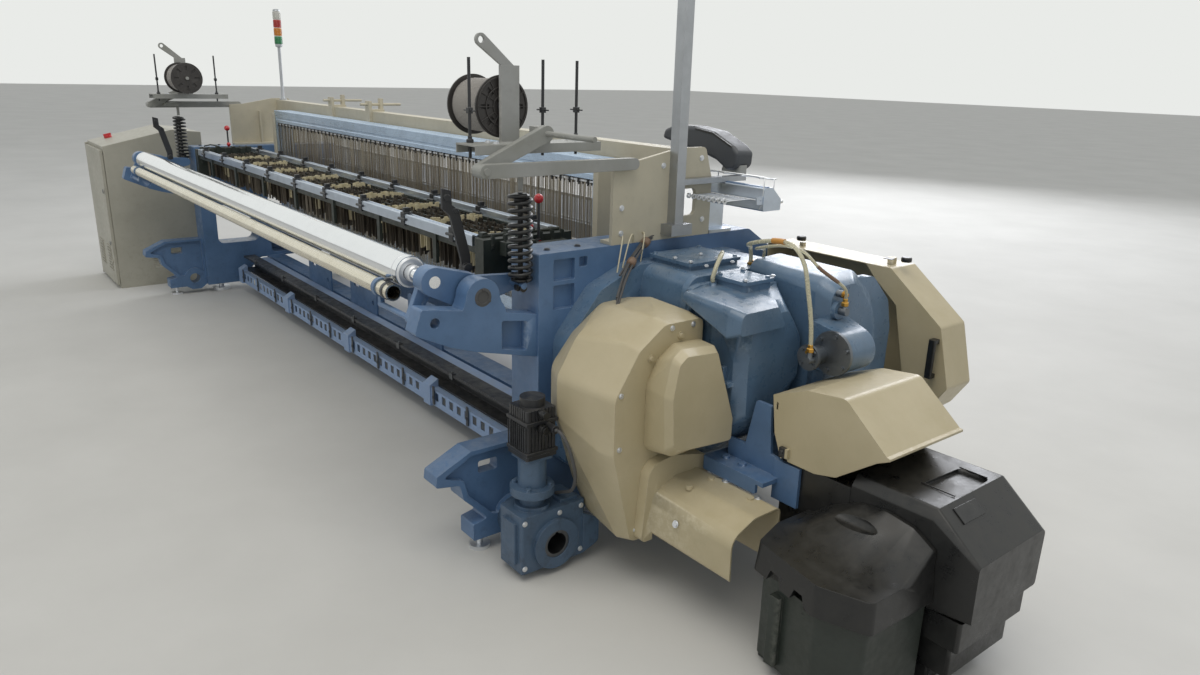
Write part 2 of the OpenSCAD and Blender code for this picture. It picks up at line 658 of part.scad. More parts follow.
// Blue stand that ties the dobby to the outer housing
module dobby_pedestal() color("#4d6d96") {
    block([end_c, 170, 430], [end_c + 15, 400, 640]);
    block([end_b - 138, -185, 430], [dobby_x0, split_y - join, 445]);
    block([end_c, split_y - 1, 430], [dobby_x0, 400, 445]);
    block([dobby_x0 - 20, case_y0 - 12, 372], [dobby_x0 + 80, case_y0, 505]);
    along_y(-185, -173) outline([[end_b - 138, 396, 6], [end_b - 138, 431, 0], [end_c + 40, 431, 0], [end_c + 40, 396, 6]]);
    along_y(-112, -100) outline([
        [end_b - 100, 445, 0], [end_b - 100, 508, 4], [end_b - 28, 508, 4], [end_b + 5, 668, 6], [end_c + 16, 668, 6],
        [end_c + 20, 600, 4], [end_c + 30, 510, 4], [dobby_x0 - 2, 505, 4], [dobby_x0 - 2, 445, 0]]);
    along_x(end_c, end_c + 12) outline([
        [-100, 445, 0], [170, 445, 0], [170, 470, 4], [-40, 560, 10], [-100, 560, 4]]);
    for (p = [[end_b - 80, -140], [end_c - 60, -140], [end_b - 60, -40], [end_c - 20, -20]])
        rod_z(p[0], p[1], 445, 455, 26);
}

// Folded beige hood over the coupling, with a rim flange, a slot and a latch
module dobby_hood() color("#b5a880") {
    x0 = dobby_x0 - 44;
    z0 = hood_z0;
    y1 = case_y1 - 20;
    p = [[x0, 712, 4], [x0 + 128, 764, 26], [x0 + 262, 780, 30], [x0 + 412, 658, 4], [x0 + 424, 655, 0], [x0 + 424, 648, 0],
         [x0 + 384, 628, 4], [x0 + 256, z0 + 18, 10], [x0 + 180, z0, 4], [x0 + 78, z0, 4], [x0 + 70, z0 + 18, 2],
         [x0 + 50, z0, 2], [x0 + 18, 590, 10]];
    q = [[x0 + 5, 709, 2], [x0 + 129, 758, 22], [x0 + 260, 774, 26], [x0 + 404, 656, 2], [x0 + 408, 649, 2], [x0 + 380, 632, 2],
         [x0 + 252, z0 - 10, 0], [x0 + 86, z0 - 10, 0], [x0 + 74, z0 + 22, 0], [x0 + 54, z0 + 10, 0], [x0 + 23, 590, 8]];
    difference() {
        along_y(case_y0 - 15, y1) outline(p);
        along_y(case_y0 - 10, y1 - 5) outline(q);
        along_y(case_y0 - 20, case_y0 - 5) pane([x0 + 16, 668], [x0 + 23, 692]);
    }
    block([x0 + 62, case_y0 - 28, z0 + 14], [x0 + 84, case_y0 - 15, z0 + 44]);
}

// Cast body of the dobby, standing on the floor under the lid
module dobby_body() color("#2a302c") {
    along_z(24, 296) outline_xy([[side_x0 + 20, case_y0 - join, 0], [side_x0 + 20, side_y0 + 175, 20], [side_x0 + 58, side_y0 + 66, 20],
        [side_x1 - 150, side_y0 + 18, 20], [side_x1 - 24, side_y0 + 68, 20], [side_x1 - 14, case_y0 - join, 0]]);
    along_z(0, 24) pane([side_x0 + 50, side_y0 + 80], [side_x1 - 50, case_y0 - 30], 10);
    for (x = [side_x0 + 120, side_x0 + 230])
        block([x, side_y0 + 26, 40], [x + 34, side_y0 + 80, 262]);
}

module outline_xy(p) outline(p, 4);

// Black lid with a stepped lower edge, a sloping top and a domed hump
module dobby_lid() color("#1f2022") {
    top = [[side_x0 + 6, case_y0 - join, 0], [side_x0 + 4, side_y0 + 180, 30], [side_x0 + 44, side_y0 + 52, 26],
           [side_x1 - 148, side_y0 + 4, 30], [side_x1 - 8, side_y0 + 54, 26], [side_x1 - 2, case_y0 - join, 0]];
    rim = [[side_x0, case_y0 - join, 0], [side_x0 - 4, side_y0 + 176, 24], [side_x0 + 38, side_y0 + 46, 20],
           [side_x1 - 148, side_y0 - 4, 24], [side_x1, side_y0 + 48, 20], [side_x1 + 6, case_y0 - join, 0]];
    arch = [[side_x0 + 6, 300, 0], [side_x0 + 6, 372, 20], [side_x0 + 84, 436, 60], [side_x0 + 180, 484, 60], [side_x0 + 270, 500, 60],
            [side_x0 + 360, 488, 50], [side_x1 - 4, 448, 16], [side_x1 - 4, 300, 0]];
    difference() {
        union() {
            hull() {
                along_z(296, 297) outline(rim, 4);
                along_z(384, 385) outline(top, 4);
            }
            hull() {
                along_y(case_y0 - 12, case_y0 - join) outline(arch, 4);
                along_z(384, 385) translate([side_x0 + 232, case_y0 - 113]) scale([1.85, 1]) circle(110, $fn = 32);
            }
        }
        for (x = [side_x0 + 96, side_x0 + 196])
            along_y(side_y0 - 10, side_y0 + 52) outline([[x, 295, 0], [x + 14, 330, 4], [x + 46, 330, 4], [x + 60, 295, 0]]);
        translate([side_x0 + 190, case_y0 - 84, 470]) scale([1.9, 0.5, 0.4]) sphere(r = 60, $fn = 32);
    }
}

// Black moulded case with a bevelled side, a sloping end and a handle recess
module dobby_case() color("#1c1d1f") {
    x2 = dobby_x1 - 406;
    difference() {
        hull() {
            slice(x2 + 6, [[case_y0, 262, 10], [case_y0, 525, 10], [case_y0 + 24, 558, 14], [case_y1 - 30, 562, 20], [case_y1, 540, 20],
                           [case_y1, 262, 10]]);
            slice(dobby_x1 - 140, [[case_y0, 262, 10], [case_y0, 528, 10], [case_y0 + 20, 557, 12], [case_y1 - 20, 562, 20],
                                   [case_y1, 540, 20], [case_y1, 262, 10]]);
            slice(dobby_x1 - 0.5, [[case_y0 + 14, 272, 10], [case_y0 + 10, 446, 10], [case_y1 - 12, 452, 20], [case_y1 - 15, 272, 10]]);
        }
        along_z(550, 565) outline([[dobby_x1 - 250, 10, 16], [dobby_x1 - 240, 190, 16], [dobby_x1 - 150, 200, 24], [dobby_x1 - 140, 0, 24]], 4);
    }
    along_z(262, hood_z0) pane([dobby_x0, case_y0], [x2 + 8, case_y1], 10);
    along_z(170, 262) pane([dobby_x0 + 20, case_y0 + 14], [dobby_x1 - 24, case_y1 - 10], 10);
    along_z(70, 170) pane([dobby_x0 + 60, case_y0 + 30], [dobby_x1 - 50, case_y1 - 30], 10);
    along_z(0, 70) pane([dobby_x0 + 80, case_y0 + 60], [dobby_x1 - 120, case_y1 - 60], 10);
}

// Beige box beam over the healds, with clamp brackets and cross rods
module arch_beam() color("#c2b79a") {
    difference() {
        block([-frame_out + plate_t, arch_y, arch_z], [frame_out - plate_t, arch_y + arch_w, arch_z + arch_w]);
        for (s = [-1, 1])
            block([s * frame_out / 2 - frame_out / 2 + 30, arch_y + 5, arch_z + 5],
                  [s * frame_out / 2 + frame_out / 2 - 30, arch_y + arch_w - 5, arch_z + arch_w - 5]);
    }
    for (x = [-1150, -560]) {
        block([x, arch_y - 18, arch_z - 25], [x + 60, arch_y, arch_z + arch_w + 60]);
        block([x, arch_y, arch_z + arch_w], [x + 60, arch_y + arch_w, arch_z + arch_w + 12]);
        block([x + 15, arch_y + arch_w - 20, arch_z + arch_w + 12], [x + 45, arch_y + arch_w, arch_z + arch_w + 75]);
        rod_y(x + 30, arch_y - 60, arch_y + arch_w + 120, arch_z + arch_w + 40, 16);
    }
    for (s = [0, 1]) mirror([s, 0, 0]) heald_guide();
}

// Grooved guides for the ends of the heald frames, hung from the beam
module heald_guide() {
    y0 = heald_y - 14;
    z0 = heald_top - heald_h + 20;
    block([heald_x + gap, y0, z0], [heald_x + 14, arch_y, heald_top - 20]);
    block([heald_x + gap, arch_y, arch_z - 60], [heald_x + 14, arch_y + 40, arch_z]);
    for (i = [0:6]) {
        a = i == 0 ? y0 : heald_y + (i - 1) * heald_pitch + heald_t + gap;
        b = heald_y + i * heald_pitch - gap;
        block([heald_x - 18, a, z0], [heald_x + gap, i == 6 ? a + 12 : b, heald_top - 20]);
    }
}

// Plates that stand on the side frames and hold the arch beam
module arch_plates() color("#bdb193") for (s = [0, 1]) mirror([s, 0, 0]) {
    top = frame_top + arch_h;
    along_x(frame_out - plate_t, frame_out) difference() {
        outline([[-190, frame_top, 0], [-190, top - 45, 10], [-90, top - 40, 40], [120, top, 10],
                 [arch_y + arch_w + 20, top, 20], [plate_y1, top - 120, 20],
                 [plate_y1, frame_top, 0]]);
        pane([110, top - 250], [210, top - 150], 20);
    }
    block([frame_out - plate_t - 50, -190, frame_top], [frame_out - plate_t, plate_y1, frame_top + 12]);
    block([frame_out - plate_t - 40, 10, frame_top + 12], [frame_out - plate_t, 22, top - 90]);
}

// Square pole with its foot, cable arm and the pin that carries the terminal
module mast() color("#a9acb0") {
    x = frame_out;
    difference() {
        block([x, 70, frame_top + 60], [x + 42, 112, frame_top + 850]);
        block([x + 4, 74, frame_top + 70], [x + 38, 108, frame_top + 851]);
    }
    block([x, 40, frame_top + 20], [x + 60, 142, frame_top + 60]);
    block([x + 5, 112, frame_top + 200], [x + 37, 440, frame_top + 220]);
    rod_z(x + 21, 424, frame_top + 220, frame_top + 262, 24);
}

// Signal column on the far arch plate
module stack_light() color("#d8d8d0") {
    x = -frame_out + 60;
    y = arch_y + 40;
    z = frame_top + arch_h - 10;
    rod_z(x, y, z, z + 24, 60);
    rod_z(x, y, z + 24, z + 250, 22);
    rod_z(x, y, z + 250, z + 330, 56);
    for (i = [0:3]) rod_z(x, y, z + 330 + i * 75, z + 400 + i * 75, 60);
    for (i = [0:3]) rod_z(x, y, z + 400 + i * 75, z + 405 + i * 75, 54);
    rod_z(x, y, z + 630, z + 642, 40);
}

// Arm, links, shelf with threaded rods, spool holder and the rod that hangs the spring
module bobbin_stand(spots) {
    x = frame_out;
    along_x(x, x + 30) link([-715, arm_z], [-120, arm_z], 22, 20);
    along_x(x - 26, x) link([-715, arm_z], [-470, shelf_z + 62], 22, 26);
    rod_x(x - 30, x + 36, -715, arm_z, 22);
    rod_x(x - 60, x + 250, -470, shelf_z + 62, 18);
    block([x - 60, -500, shelf_z + 30], [x - 26, -440, shelf_z + 84]);
    difference() {
        block([shelf_x0, shelf_y0, shelf_z], [x - 26, shelf_y1, shelf_z + 30]);
        block([shelf_x0 + 5, shelf_y0 - 1, shelf_z - 1], [x - 31, shelf_y1 + 1, shelf_z + 25]);
    }
    for (y = spots) {
        rod_z(shelf_x0 + 20, y, shelf_z - 20, shelf_z + 290, 9);
        rod_z(shelf_x0 + 20, y, shelf_z + 30, shelf_z + 38, 22);
    }
    block([spool_x1 + 12, spool_y - 20, shelf_z + 30], [spool_x1 + 26, spool_y + 50, shelf_z + 270]);
    rod_x(spool_x0 - 14, spool_x1 + 20, spool_y, spool_z, 20);
    rod_x(spool_x1 + 6, spool_x1 + 12, spool_y, spool_z, 36);
    along_x(spool_x1 + 14, spool_x1 + 24) difference() {
        link([spool_y + 20, shelf_z + 260], [spool_y - 90, shelf_z + 345], 14, 20);
        translate([spool_y - 90, shelf_z + 345]) circle(11);
    }
    rod_z(spring_x, eye_y, spring_z1 + 12, arm_z - 10, 18);
    along_x(spring_x - 10, x) link([eye_y, arm_z + 2], [eye_y - 70, arm_z + 2], 14, 14);
}

module bobbin_stand_near() color("#9da0a4") bobbin_stand([-680, -400, -260]);
module bobbin_stand_far() color("#9da0a4") mirror([1, 0, 0]) bobbin_stand([-680, -300]);

// Flanged spool with yarn between its webbed flanges
module spool() {
    x0 = spool_x0;
    x1 = spool_x1;
    difference() {
        union() {
            for (x = [x0, x1 - 6]) along_x(x, x + 6) difference() {
                translate([spool_y, spool_z]) circle(spool_r);
                for (a = [0:45:315]) translate([spool_y, spool_z]) rotate(a) translate([50, -7]) square([30, 14]);
            }
            rod_x(x0 + 6, x1 - 6, spool_y, spool_z, 170);
        }
        rod_x(x0 - 1, x1 + 1, spool_y, spool_z, 20 + 2 * run);
    }
}

module spool_near() color("#3a3533") spool();
module spool_far() color("#3a3533") mirror([1, 0, 0]) spool();

// Two bright rails, the contact bars and the end blocks of the warp stop motion
module stop_motion_frame() color("#b4bac2") {
    end = stop_end - join;
    for (y = [stop_y0, stop_y1 - bar_w])
        block([-end, y, stop_z], [end, y + bar_w, stop_z + bar_w]);
    for (i = [0:dropper_rows - 1])
        block([-end, row_y0 + i * row_step - 3, stop_z + 2], [end, row_y0 + i * row_step + 3, stop_z + 30]);
    for (s = [-1, 1]) {
        a = s < 0 ? -stop_end - 60 : stop_end;
        b = s < 0 ? -frame_out + frame_plate : stop_end + 60;
        block([a, stop_y0 - 10, stop_z - 120], [a + 60, stop_y1 + 10, stop_z + 60]);
        block([b, -330, stop_z - 60], [b + frame_out - frame_plate - stop_end - 60, -250, stop_z]);
        rod_x(s * (stop_end + 72) - 12, s * (stop_end + 72) + 12, -300, stop_z + 30, 12);
    }
    for (i = [-3:3]) {
        block([i * 520 - 14, stop_y0 - 8, stop_z - 12], [i * 520 + 14, stop_y0 - join, stop_z + bar_w + 8]);
        block([i * 520 - 14, stop_y0 - 8, stop_z - 90], [i * 520 + 14, stop_y0 + 6, stop_z - 12]);
    }
}

// Bunches of drop wires hung on the contact bars
module droppers() color("#8f8a80") {
    pitch = 2 * (stop_end - 60) / dropper_n;
    for (i = [0:dropper_rows - 1], k = [0:dropper_n - 1]) {
        y = row_y0 + i * row_step;
        x = -stop_end + 60 + (k + 0.1 + 0.1 * (i % 3)) * pitch;
        along_x(x, x + pitch * 0.6) difference() {
            pane([y - 6, stop_z - 110], [y + 6, stop_z + 36]);
            pane([y - 3 - gap, stop_z - 40], [y + 3 + gap, stop_z + 30]);
        }
    }
}

// Hand lever with a ball, on a pin in the end block
module stop_lever() {
    x = stop_end + 62;
    difference() {
        union() {
            rod_x(x, x + 20, -300, stop_z + 30, 34);
            rod_z(x + 10, -300, stop_z + 44, stop_z + 190, 9);
            translate([x + 10, -300, stop_z + 196]) sphere(d = 36);
        }
        rod_x(x - 1, x + 21, -300, stop_z + 30, 12 + 2 * run);
    }
}

module stop_lever_near() color("#c4262b") stop_lever();
module stop_lever_far() color("#c4262b") mirror([1, 0, 0]) stop_lever();

// Bracket and actuator bank that hand the weft to the rapier
module weft_presenter() color("#a8acb2") {
    x = frame_out;
    y = feed_y;
    block([x - 60, plate_y1 + 4, frame_top], [x, y + 110, frame_top + 12]);
    block([x - 60, y + 20, frame_top + 12], [x - 48, y + 110, feed_z - 40]);
    along_x(x - 60, x + 240) outline([[y + 16, feed_z - 40, 6], [y + 110, feed_z - 40, 6], [y + 110, feed_z, 6],
                                      [y + 60, feed_z + 45, 10], [y + 16, feed_z + 45, 6]]);
    for (i = [0:7]) rod_y(x + 5 + i * 26, y + 110, y + 146, feed_z - 20, 16);
    for (e = [x - 55, x + 228]) difference() {
        block([e, y - 16, feed_z - 14], [e + 8, y + 24, feed_z + 14]);
        rod_x(e - 1, e + 9, y, feed_z, 8 + 2 * run);
    }
}

// Eight feeder needles with eyelets on their common shaft
module presenter_fingers() color("#c9ccd0") {
    x = frame_out;
    rod_x(x - 52, x + 233, feed_y, feed_z, 8);
    for (i = [0:7]) {
        rod_y(x + 5 + i * 26, feed_y - 130, feed_y + 2, feed_z, 5);
        along_x(x + 2 + i * 26, x + 8 + i * 26) difference() {
            translate([feed_y - 134, feed_z]) circle(10);
            translate([feed_y - 134, feed_z]) circle(5);
        }
    }
}

// Worm gearbox on the cradle, with motor flanges and an output bore
module letoff_gearbox() color("#5f7fa8") difference() {
    union() {
        along_z(box_z0, box_z1) pane([box_x0, box_y0], [box_x1, box_y1], 8);
        rod_x(frame_out - 30, box_x0, drive_y, drive_z, 150);
        rod_x(box_x1, box_x1 + 14, drive_y, drive_z, 180);
        along_x(box_x1 - 34, box_x1 + 6) outline([
            [box_y1 - 10, 34, 0], [box_y1 + 60, 60, 24], [box_y1 + 60, 150, 24], [box_y1 - 10, 190, 0]]);
        along_z(box_z0 + 30, box_z1 - 30) pane([box_x0 + 30, box_y0 - 12], [box_x1 - 30, box_y0 + 5], 4);
        rod_z(worm_x, worm_y, box_z1, box_z1 + 14, 120);
        rod_z(worm_x, worm_y, box_z1 + 14, box_z1 + 50, 84);
        rod_z(worm_x, worm_y, box_z1 + 50, box_z1 + 78, 150);
        rod_z(worm_x, worm_y, box_z1 + 78, motor_z1 - 14, 96);
        along_z(motor_z1 - 14, motor_z1) pane([worm_x - 52, worm_y - 52], [worm_x + 52, worm_y + 52], 10);
        for (a = [45:90:315])
            rod_z(worm_x + 60 * cos(a), worm_y + 60 * sin(a), box_z1 + 78, box_z1 + 88, 16);
        block([box_x0 + 20, box_y1 - 90, box_z1], [box_x1 - 20, box_y1 - 20, box_z1 + 12]);
    }
    rod_x(frame_out - 60, box_x1 + 20, drive_y, drive_z, 100 + 2 * run);
}

// Servo motor on its round adapter, with cooling ribs and a cap
module letoff_motor() color("#17181a") {
    h = motor_w / 2;
    along_z(motor_z1, motor_z1 + 14) pane([worm_x - h, worm_y - h], [worm_x + h, worm_y + h], 8);
    along_z(motor_z1 + 14, motor_z1 + 170) difference() {
        pane([worm_x - h + 4, worm_y - h + 4], [worm_x + h - 4, worm_y + h - 4], 6);
        for (a = [0:90:270], k = [-3:3])
            translate([worm_x, worm_y]) rotate(a) translate([h - 9, k * 13 - 2]) square([6, 4]);
    }
    rod_z(worm_x, worm_y, motor_z1 + 170, motor_z1 + 200, 84);
    rod_x(worm_x + h - 10, plug_x, plug_y, plug_z, 28);
}

// Two leads from the motor's plug, bound and tucked under the cover
plug_x = worm_x + motor_w / 2 + 45;
plug_y = worm_y + 20;
plug_z = motor_z1 + 110;
cable_route = [[plug_x + 1, plug_y, plug_z], [plug_x + 25, plug_y, plug_z], [plug_x + 47, plug_y + 10, plug_z - 29],
               [plug_x + 60, plug_y + 25, plug_z - 89], [plug_x + 50, plug_y + 45, plug_z - 159],
               [plug_x + 5, plug_y + 65, box_z1 + 75], [worm_x + 40, plug_y + 75, box_z1 + 35], [worm_x + 5, plug_y + 75, box_z1 + 18]];
module letoff_cable() color("#101010") sweep(smooth(cable_route, 3), 6, 8, [1, 0, 0]);

// Hollow output shaft that turns in the gearbox
module letoff_hub() color("#2b2d2f") difference() {
    rod_x(frame_out - 28, box_x1 + 10, drive_y, drive_z, 100);
    rod_x(frame_out - 30, box_x1 + 20, drive_y, drive_z, 76);
    block([frame_out - 40, drive_y - 6, drive_z], [box_x1 + 20, drive_y + 6, drive_z + 43]);
}

// Steel cabinet with a sloping top, louvres and brackets to the far frame
module control_cabinet() color("#a7a391") {
    ridge = cabinet_h + cab_rise;
    shell = [[cab_y0, 0, 0], [cab_y0, cabinet_h, 6], [cab_ridge_y, ridge, 6], [cab_y1, ridge - 20, 6], [cab_y1, 0, 0]];
    inner = [[cab_y0 - 1, 60, 0], [cab_y0 - 1, cabinet_h - 40, 0], [cab_ridge_y, cabinet_h - 10, 0],
             [cab_y1 + 3, cabinet_h - 10, 0], [cab_y1 + 3, 60, 0]];
    difference() {
        along_x(cab_x0, cab_x1) outline(shell);
        along_x(cab_x0 + 3, cab_x1 - 3) outline(inner);
        for (k = [0:7]) block([cab_x1 - 4, -760, 130 + k * 16], [cab_x1 + 1, -560, 137 + k * 16]);
        translate([cab_x0 + 160, switch_y, cabinet_h + (switch_y - cab_y0) * tan(top_tilt)])
            rotate([top_tilt, 0, 0]) cylinder(h = 60, d = 16 + 2 * run, center = true);
    }
    for (z = [120, 700]) block([cab_x1, -470, z], [-frame_out, -360, z + 60]);
    for (z = [14, cabinet_h - 24]) difference() {
        block([door_axis_x - 14, door_axis_y - 9, z], [door_axis_x + 14, cab_y0, z + 10]);
        rod_z(door_axis_x, door_axis_y, z - 1, z + 11, 8 + 2 * run);
    }
}

// Door with hinge pins and a lock
module cabinet_door() color("#b0ad9c") {
    block([door_axis_x - 6, cab_y0 - seam - door_t, 26], [cab_x1 - 8, cab_y0 - seam, cabinet_h - 26]);
    rod_z(door_axis_x, door_axis_y, 12, 26, 8);
    rod_z(door_axis_x, door_axis_y, cabinet_h - 26, cabinet_h - 12, 8);
    rod_y(cab_x1 - 60, cab_y0 - seam - door_t - 8, cab_y0 - seam - door_t, 200, 30);
    block([cab_x1 - 40, cab_y0 - seam, 500], [cab_x1 - 20, cab_y0 + 20, 530]);
}

// Rotary main switch on the sloping top
module main_switch() color("#c0272d")
    translate([cab_x0 + 160, switch_y, cabinet_h + (switch_y - cab_y0) * tan(top_tilt)])
        rotate([top_tilt, 0, 0]) {
            translate([0, 0, -25]) cylinder(h = 26, d = 16);
            translate([0, 0, gap]) cylinder(h = 16, d = 54);
            translate([-8, -26, 15]) cube([16, 52, 16]);
        }

// Box beam with the folded cloth plate in front of the reed
module breast_beam() color("#6485b6") {
    difference() {
        block([-frame_in, 690, 790], [frame_in, 780, 890]);
        block([-frame_in - 1, 698, 798], [frame_in + 1, 772, 882]);
    }
    along_x(-frame_in, frame_in) outline([[640, 925, 4], [640, 935, 4], [770, 950, 20], [812, 900, 12], [812, 800, 0],
                                          [802, 800, 0], [802, 892, 0], [766, 932, 0], [780, 890, 0], [700, 890, 0]]);
}

// Roller with a journal at each end
module roller(y, z, d, end, jd, reach) {
    rod_x(-end, end, y, z, d);
    rod_x(-reach, reach, y, z, jd);
}

module take_up_roller() color("#7c6a5c") roller(takeup_y, takeup_z, takeup_d, barrel_end, journal_d, frame_in + journal_in);
module press_roller() color("#3d3d3f") roller(press_y, press_z, press_d, barrel_end, journal_d / 2, frame_in + journal_in);
module cloth_roller() color("#b8bcc2") roller(cloth_y, cloth_z, cloth_d, barrel_end, journal_d, frame_in + journal_in);

// Rocking shaft, swords and the beam that holds the reed
module sley() color("#8e959e") {
    rod_x(-frame_in - journal_in, frame_in + journal_in, sley_y, sley_z, sley_shaft);
    for (i = [-3:3]) along_x(i * 520 - 16, i * 520 + 16) difference() {
        link([sley_y, sley_z], [sley_y, sley_beam_z - 34 - join], 60, 34);
        translate([sley_y, sley_z]) circle(sley_shaft / 2 + join);
    }
    difference() {
        block([-frame_in + 100, sley_y - 40, sley_beam_z], [frame_in - 100, sley_y + 40, sley_beam_z + 80]);
        block([-reed_w / 2, sley_y - 15, sley_beam_z + 60], [reed_w / 2, sley_y + 15, sley_beam_z + 81]);
    }
}

// Reed: a comb of dents between two baulks
module reed() color("#c3c6ca") {
    z0 = sley_beam_z + 60;
    step = (reed_w - 60) / reed_n;
    along_y(sley_y - 8, sley_y + 8) difference() {
        pane([-reed_w / 2, z0], [reed_w / 2, z0 + reed_h]);
        for (i = [0:reed_n - 1]) translate([-reed_w / 2 + 30 + i * step, z0 + 24]) square([step * 0.6, reed_h - 38]);
    }
}

// Rocker castings with the spring eye, roller bearing, tube hanger and hub pin
module rocker() {
    x0 = rocker_x;
    x1 = rocker_x + rocker_t;
    difference() {
        union() {
            along_x(x0, x1) link([hub_y, hub_z], [roller_y, roller_z], 62, 48);
            along_x(x1 - 24, x1) link([hub_y, hub_z], [eye_y, eye_z], 55, 28);
            along_x(x0, x0 + 24) link([roller_y, roller_z], [tube_y, tube_z - 60], 30, 16);
            rod_x(x1, x1 + 70, hub_y, hub_z, hub_d);
            rod_x(hanger_x, x0 + 10, tube_y, tube_z - 60, 20);
            rod_x(x1, spring_x + 24, eye_y, eye_z, 22);
        }
        rod_x(x0 - 1, x1 + 1, roller_y, roller_z, 40 + 2 * run);
        rod_x(x0 - 60, x1 + 1, roller_y, roller_z, 40 + 2 * run);
    }
    difference() {
        along_x(hanger_x, hanger_x + 20) union() {
            translate([tube_y, tube_z]) circle(tube_d / 2 + 5);
            translate([tube_y - 8, tube_z - 62]) square([16, 40]);
        }
        rod_x(hanger_x - 1, hanger_x + 21, tube_y, tube_z, tube_d + 2 * run);
    }
}

module backrest_arms() color("#6c8fc4") for (s = [0, 1]) mirror([s, 0, 0]) rocker();

module backrest_roller() color("#c5cace") roller(roller_y, roller_z, roller_d, roller_end, 40, rocker_x + rocker_t);

module deflector_tube() color("#b9b7a9") difference() {
    rod_x(-roller_end - 20, roller_end, tube_y, tube_z, tube_d);
    rod_x(-roller_end - 21, roller_end + 1, tube_y, tube_z, tube_d - 2 * tube_wall);
}

// Coil springs between the rocker eye and the hanging rod
module tension_spring() {
    r = (spring_d - spring_wire) / 2;
    n = 16 * spring_turns;
    seat = spring_wire / 2 - 2;
    h = spring_z1 - spring_z0 - 24 - 2 * seat;
    z0 = spring_z0 + 12 + seat;
    helix = [for (i = [0:n])
        [spring_x + r * cos(22.5 * i), eye_y + r * sin(22.5 * i), z0 + h * i / n]];
    sweep(helix, spring_wire / 2 - 0.2, 8, [0, 0, 1]);
    rod_z(spring_x, eye_y, spring_z0, spring_z0 + 12, spring_d);
    rod_z(spring_x, eye_y, spring_z1 - 12, spring_z1 + 12, spring_d);
    difference() {
        along_x(spring_x - 20, spring_x + 20) link([eye_y, eye_z], [eye_y, spring_z0], 22, 22);
        rod_x(spring_x - 21, spring_x + 21, eye_y, eye_z, 22 + 2 * run);
        block([spring_x - 30, eye_y - 30, spring_z0], [spring_x + 30, eye_y + 30, spring_z0 + 30]);
    }
}

module tension_springs() color("#232427") for (s = [0, 1]) mirror([s, 0, 0]) tension_spring();

function guard_rim(w) = [[guard_x0 + w, 260 + w, 4], [guard_x0 + w, 1000 - w, 4], [guard_x1 - 280, 1000 - w, 20],
    [guard_x1 - 55, 830 - w, 20], [guard_x1 - w, 620, 20], [guard_x1 - 60 - w, 525, 10], [guard_x1 - 350, 260 + w, 10]];

// Folded guard at the cloth side of the drive, with a bow handle and knobs
module front_guard() color("#b6ad90") {
    difference() {
        along_y(guard_y0, guard_y1) outline(guard_rim(0));
        along_y(guard_y0 - 1, guard_y1 - 4) intersection() {
            outline(guard_rim(4));
            polygon([[guard_x0, 200], [guard_x1 - 180, 200], [guard_x1 - 180, 620], [guard_x1 - 240, 870],
                     [guard_x1 - 340, 950], [guard_x1 - 390, 1001], [guard_x0, 1001]]);
        }
        along_y(guard_y0 + 4, guard_y1 - 4) outline(guard_rim(4));
    }
    for (z = guard_knuckles) {
        rod_z(guard_pin_x, guard_pin_y, z - 34, z + 30, 10);
        rod_z(guard_pin_x, guard_pin_y, z, z + 30, 22);
        block([guard_pin_x - 8, guard_y1 - 4, z], [guard_pin_x + 8, guard_pin_y, z + 30]);
    }
    rod_z(guard_x1 - 330, guard_y0 + 80, 1000, 1022, 32);
    rod_z(guard_x0 + 130, guard_y0 + 60, 1000, 1014, 24);
}

// Bow handle on the guard's folded face
module guard_handle() color("#1b1c1e") {
    x = guard_x1 - 76;
    y = guard_y0 - join;
    for (z = [650, 776]) along_z(z, z + 14) pane([x, y - 34], [x + 26, y], 6);
    along_z(664 + join, 776 - join) pane([x, y - 34], [x + 26, y - 20], 5);
}

// Operator terminal on the mast's pin
module control_terminal() color("#35393f") {
    x = frame_out + 21;
    z = frame_top + 220 + gap;
    difference() {
        union() {
            rod_z(x, 424, z, z + 50, 46);
            hull() {
                block([x - 420, 410, z + 20], [x + 20, 440, z + 170]);
                block([x - 400, 380, z + 60], [x - 20, 480, z + 160]);
            }
        }
        rod_z(x, 424, z - 1, z + 43, 24 + 2 * run);
    }
}

// Heald frame: two rails, end stiles, healds and push rods
module heald_frame(i) {
    y0 = heald_y + (i - 1) * heald_pitch;
    top = heald_top;
    low = top - heald_h;
    along_y(y0, y0 + heald_t) {
        pane([-heald_x, top - heald_rail], [heald_x, top], 4);
        pane([-heald_x, low], [heald_x, low + 50], 4);
        for (s = [-1, 1]) translate([s * (heald_x - 15) - 15, low]) square([30, heald_h]);
        for (x = [-1200, -400, 400, 1200]) translate([x - 14, low - 300]) square([28, 305]);
    }
    step = 2 * (heald_x - 50) / heald_n;
    for (k = [0:heald_n - 1])
        block([-heald_x + 50 + (k + 0.3) * step, y0 + 3, low + 49],
              [-heald_x + 50 + (k + 0.3) * step + 10, y0 + 9, top - heald_rail + 1]);
}

module heald_frame_1() color("#8a7a60") heald_frame(1);
module heald_frame_2() color("#8a7a60") heald_frame(2);
module heald_frame_3() color("#8a7a60") heald_frame(3);
module heald_frame_4() color("#8a7a60") heald_frame(4);
module heald_frame_5() color("#8a7a60") heald_frame(5);
module heald_frame_6() color("#8a7a60") heald_frame(6);

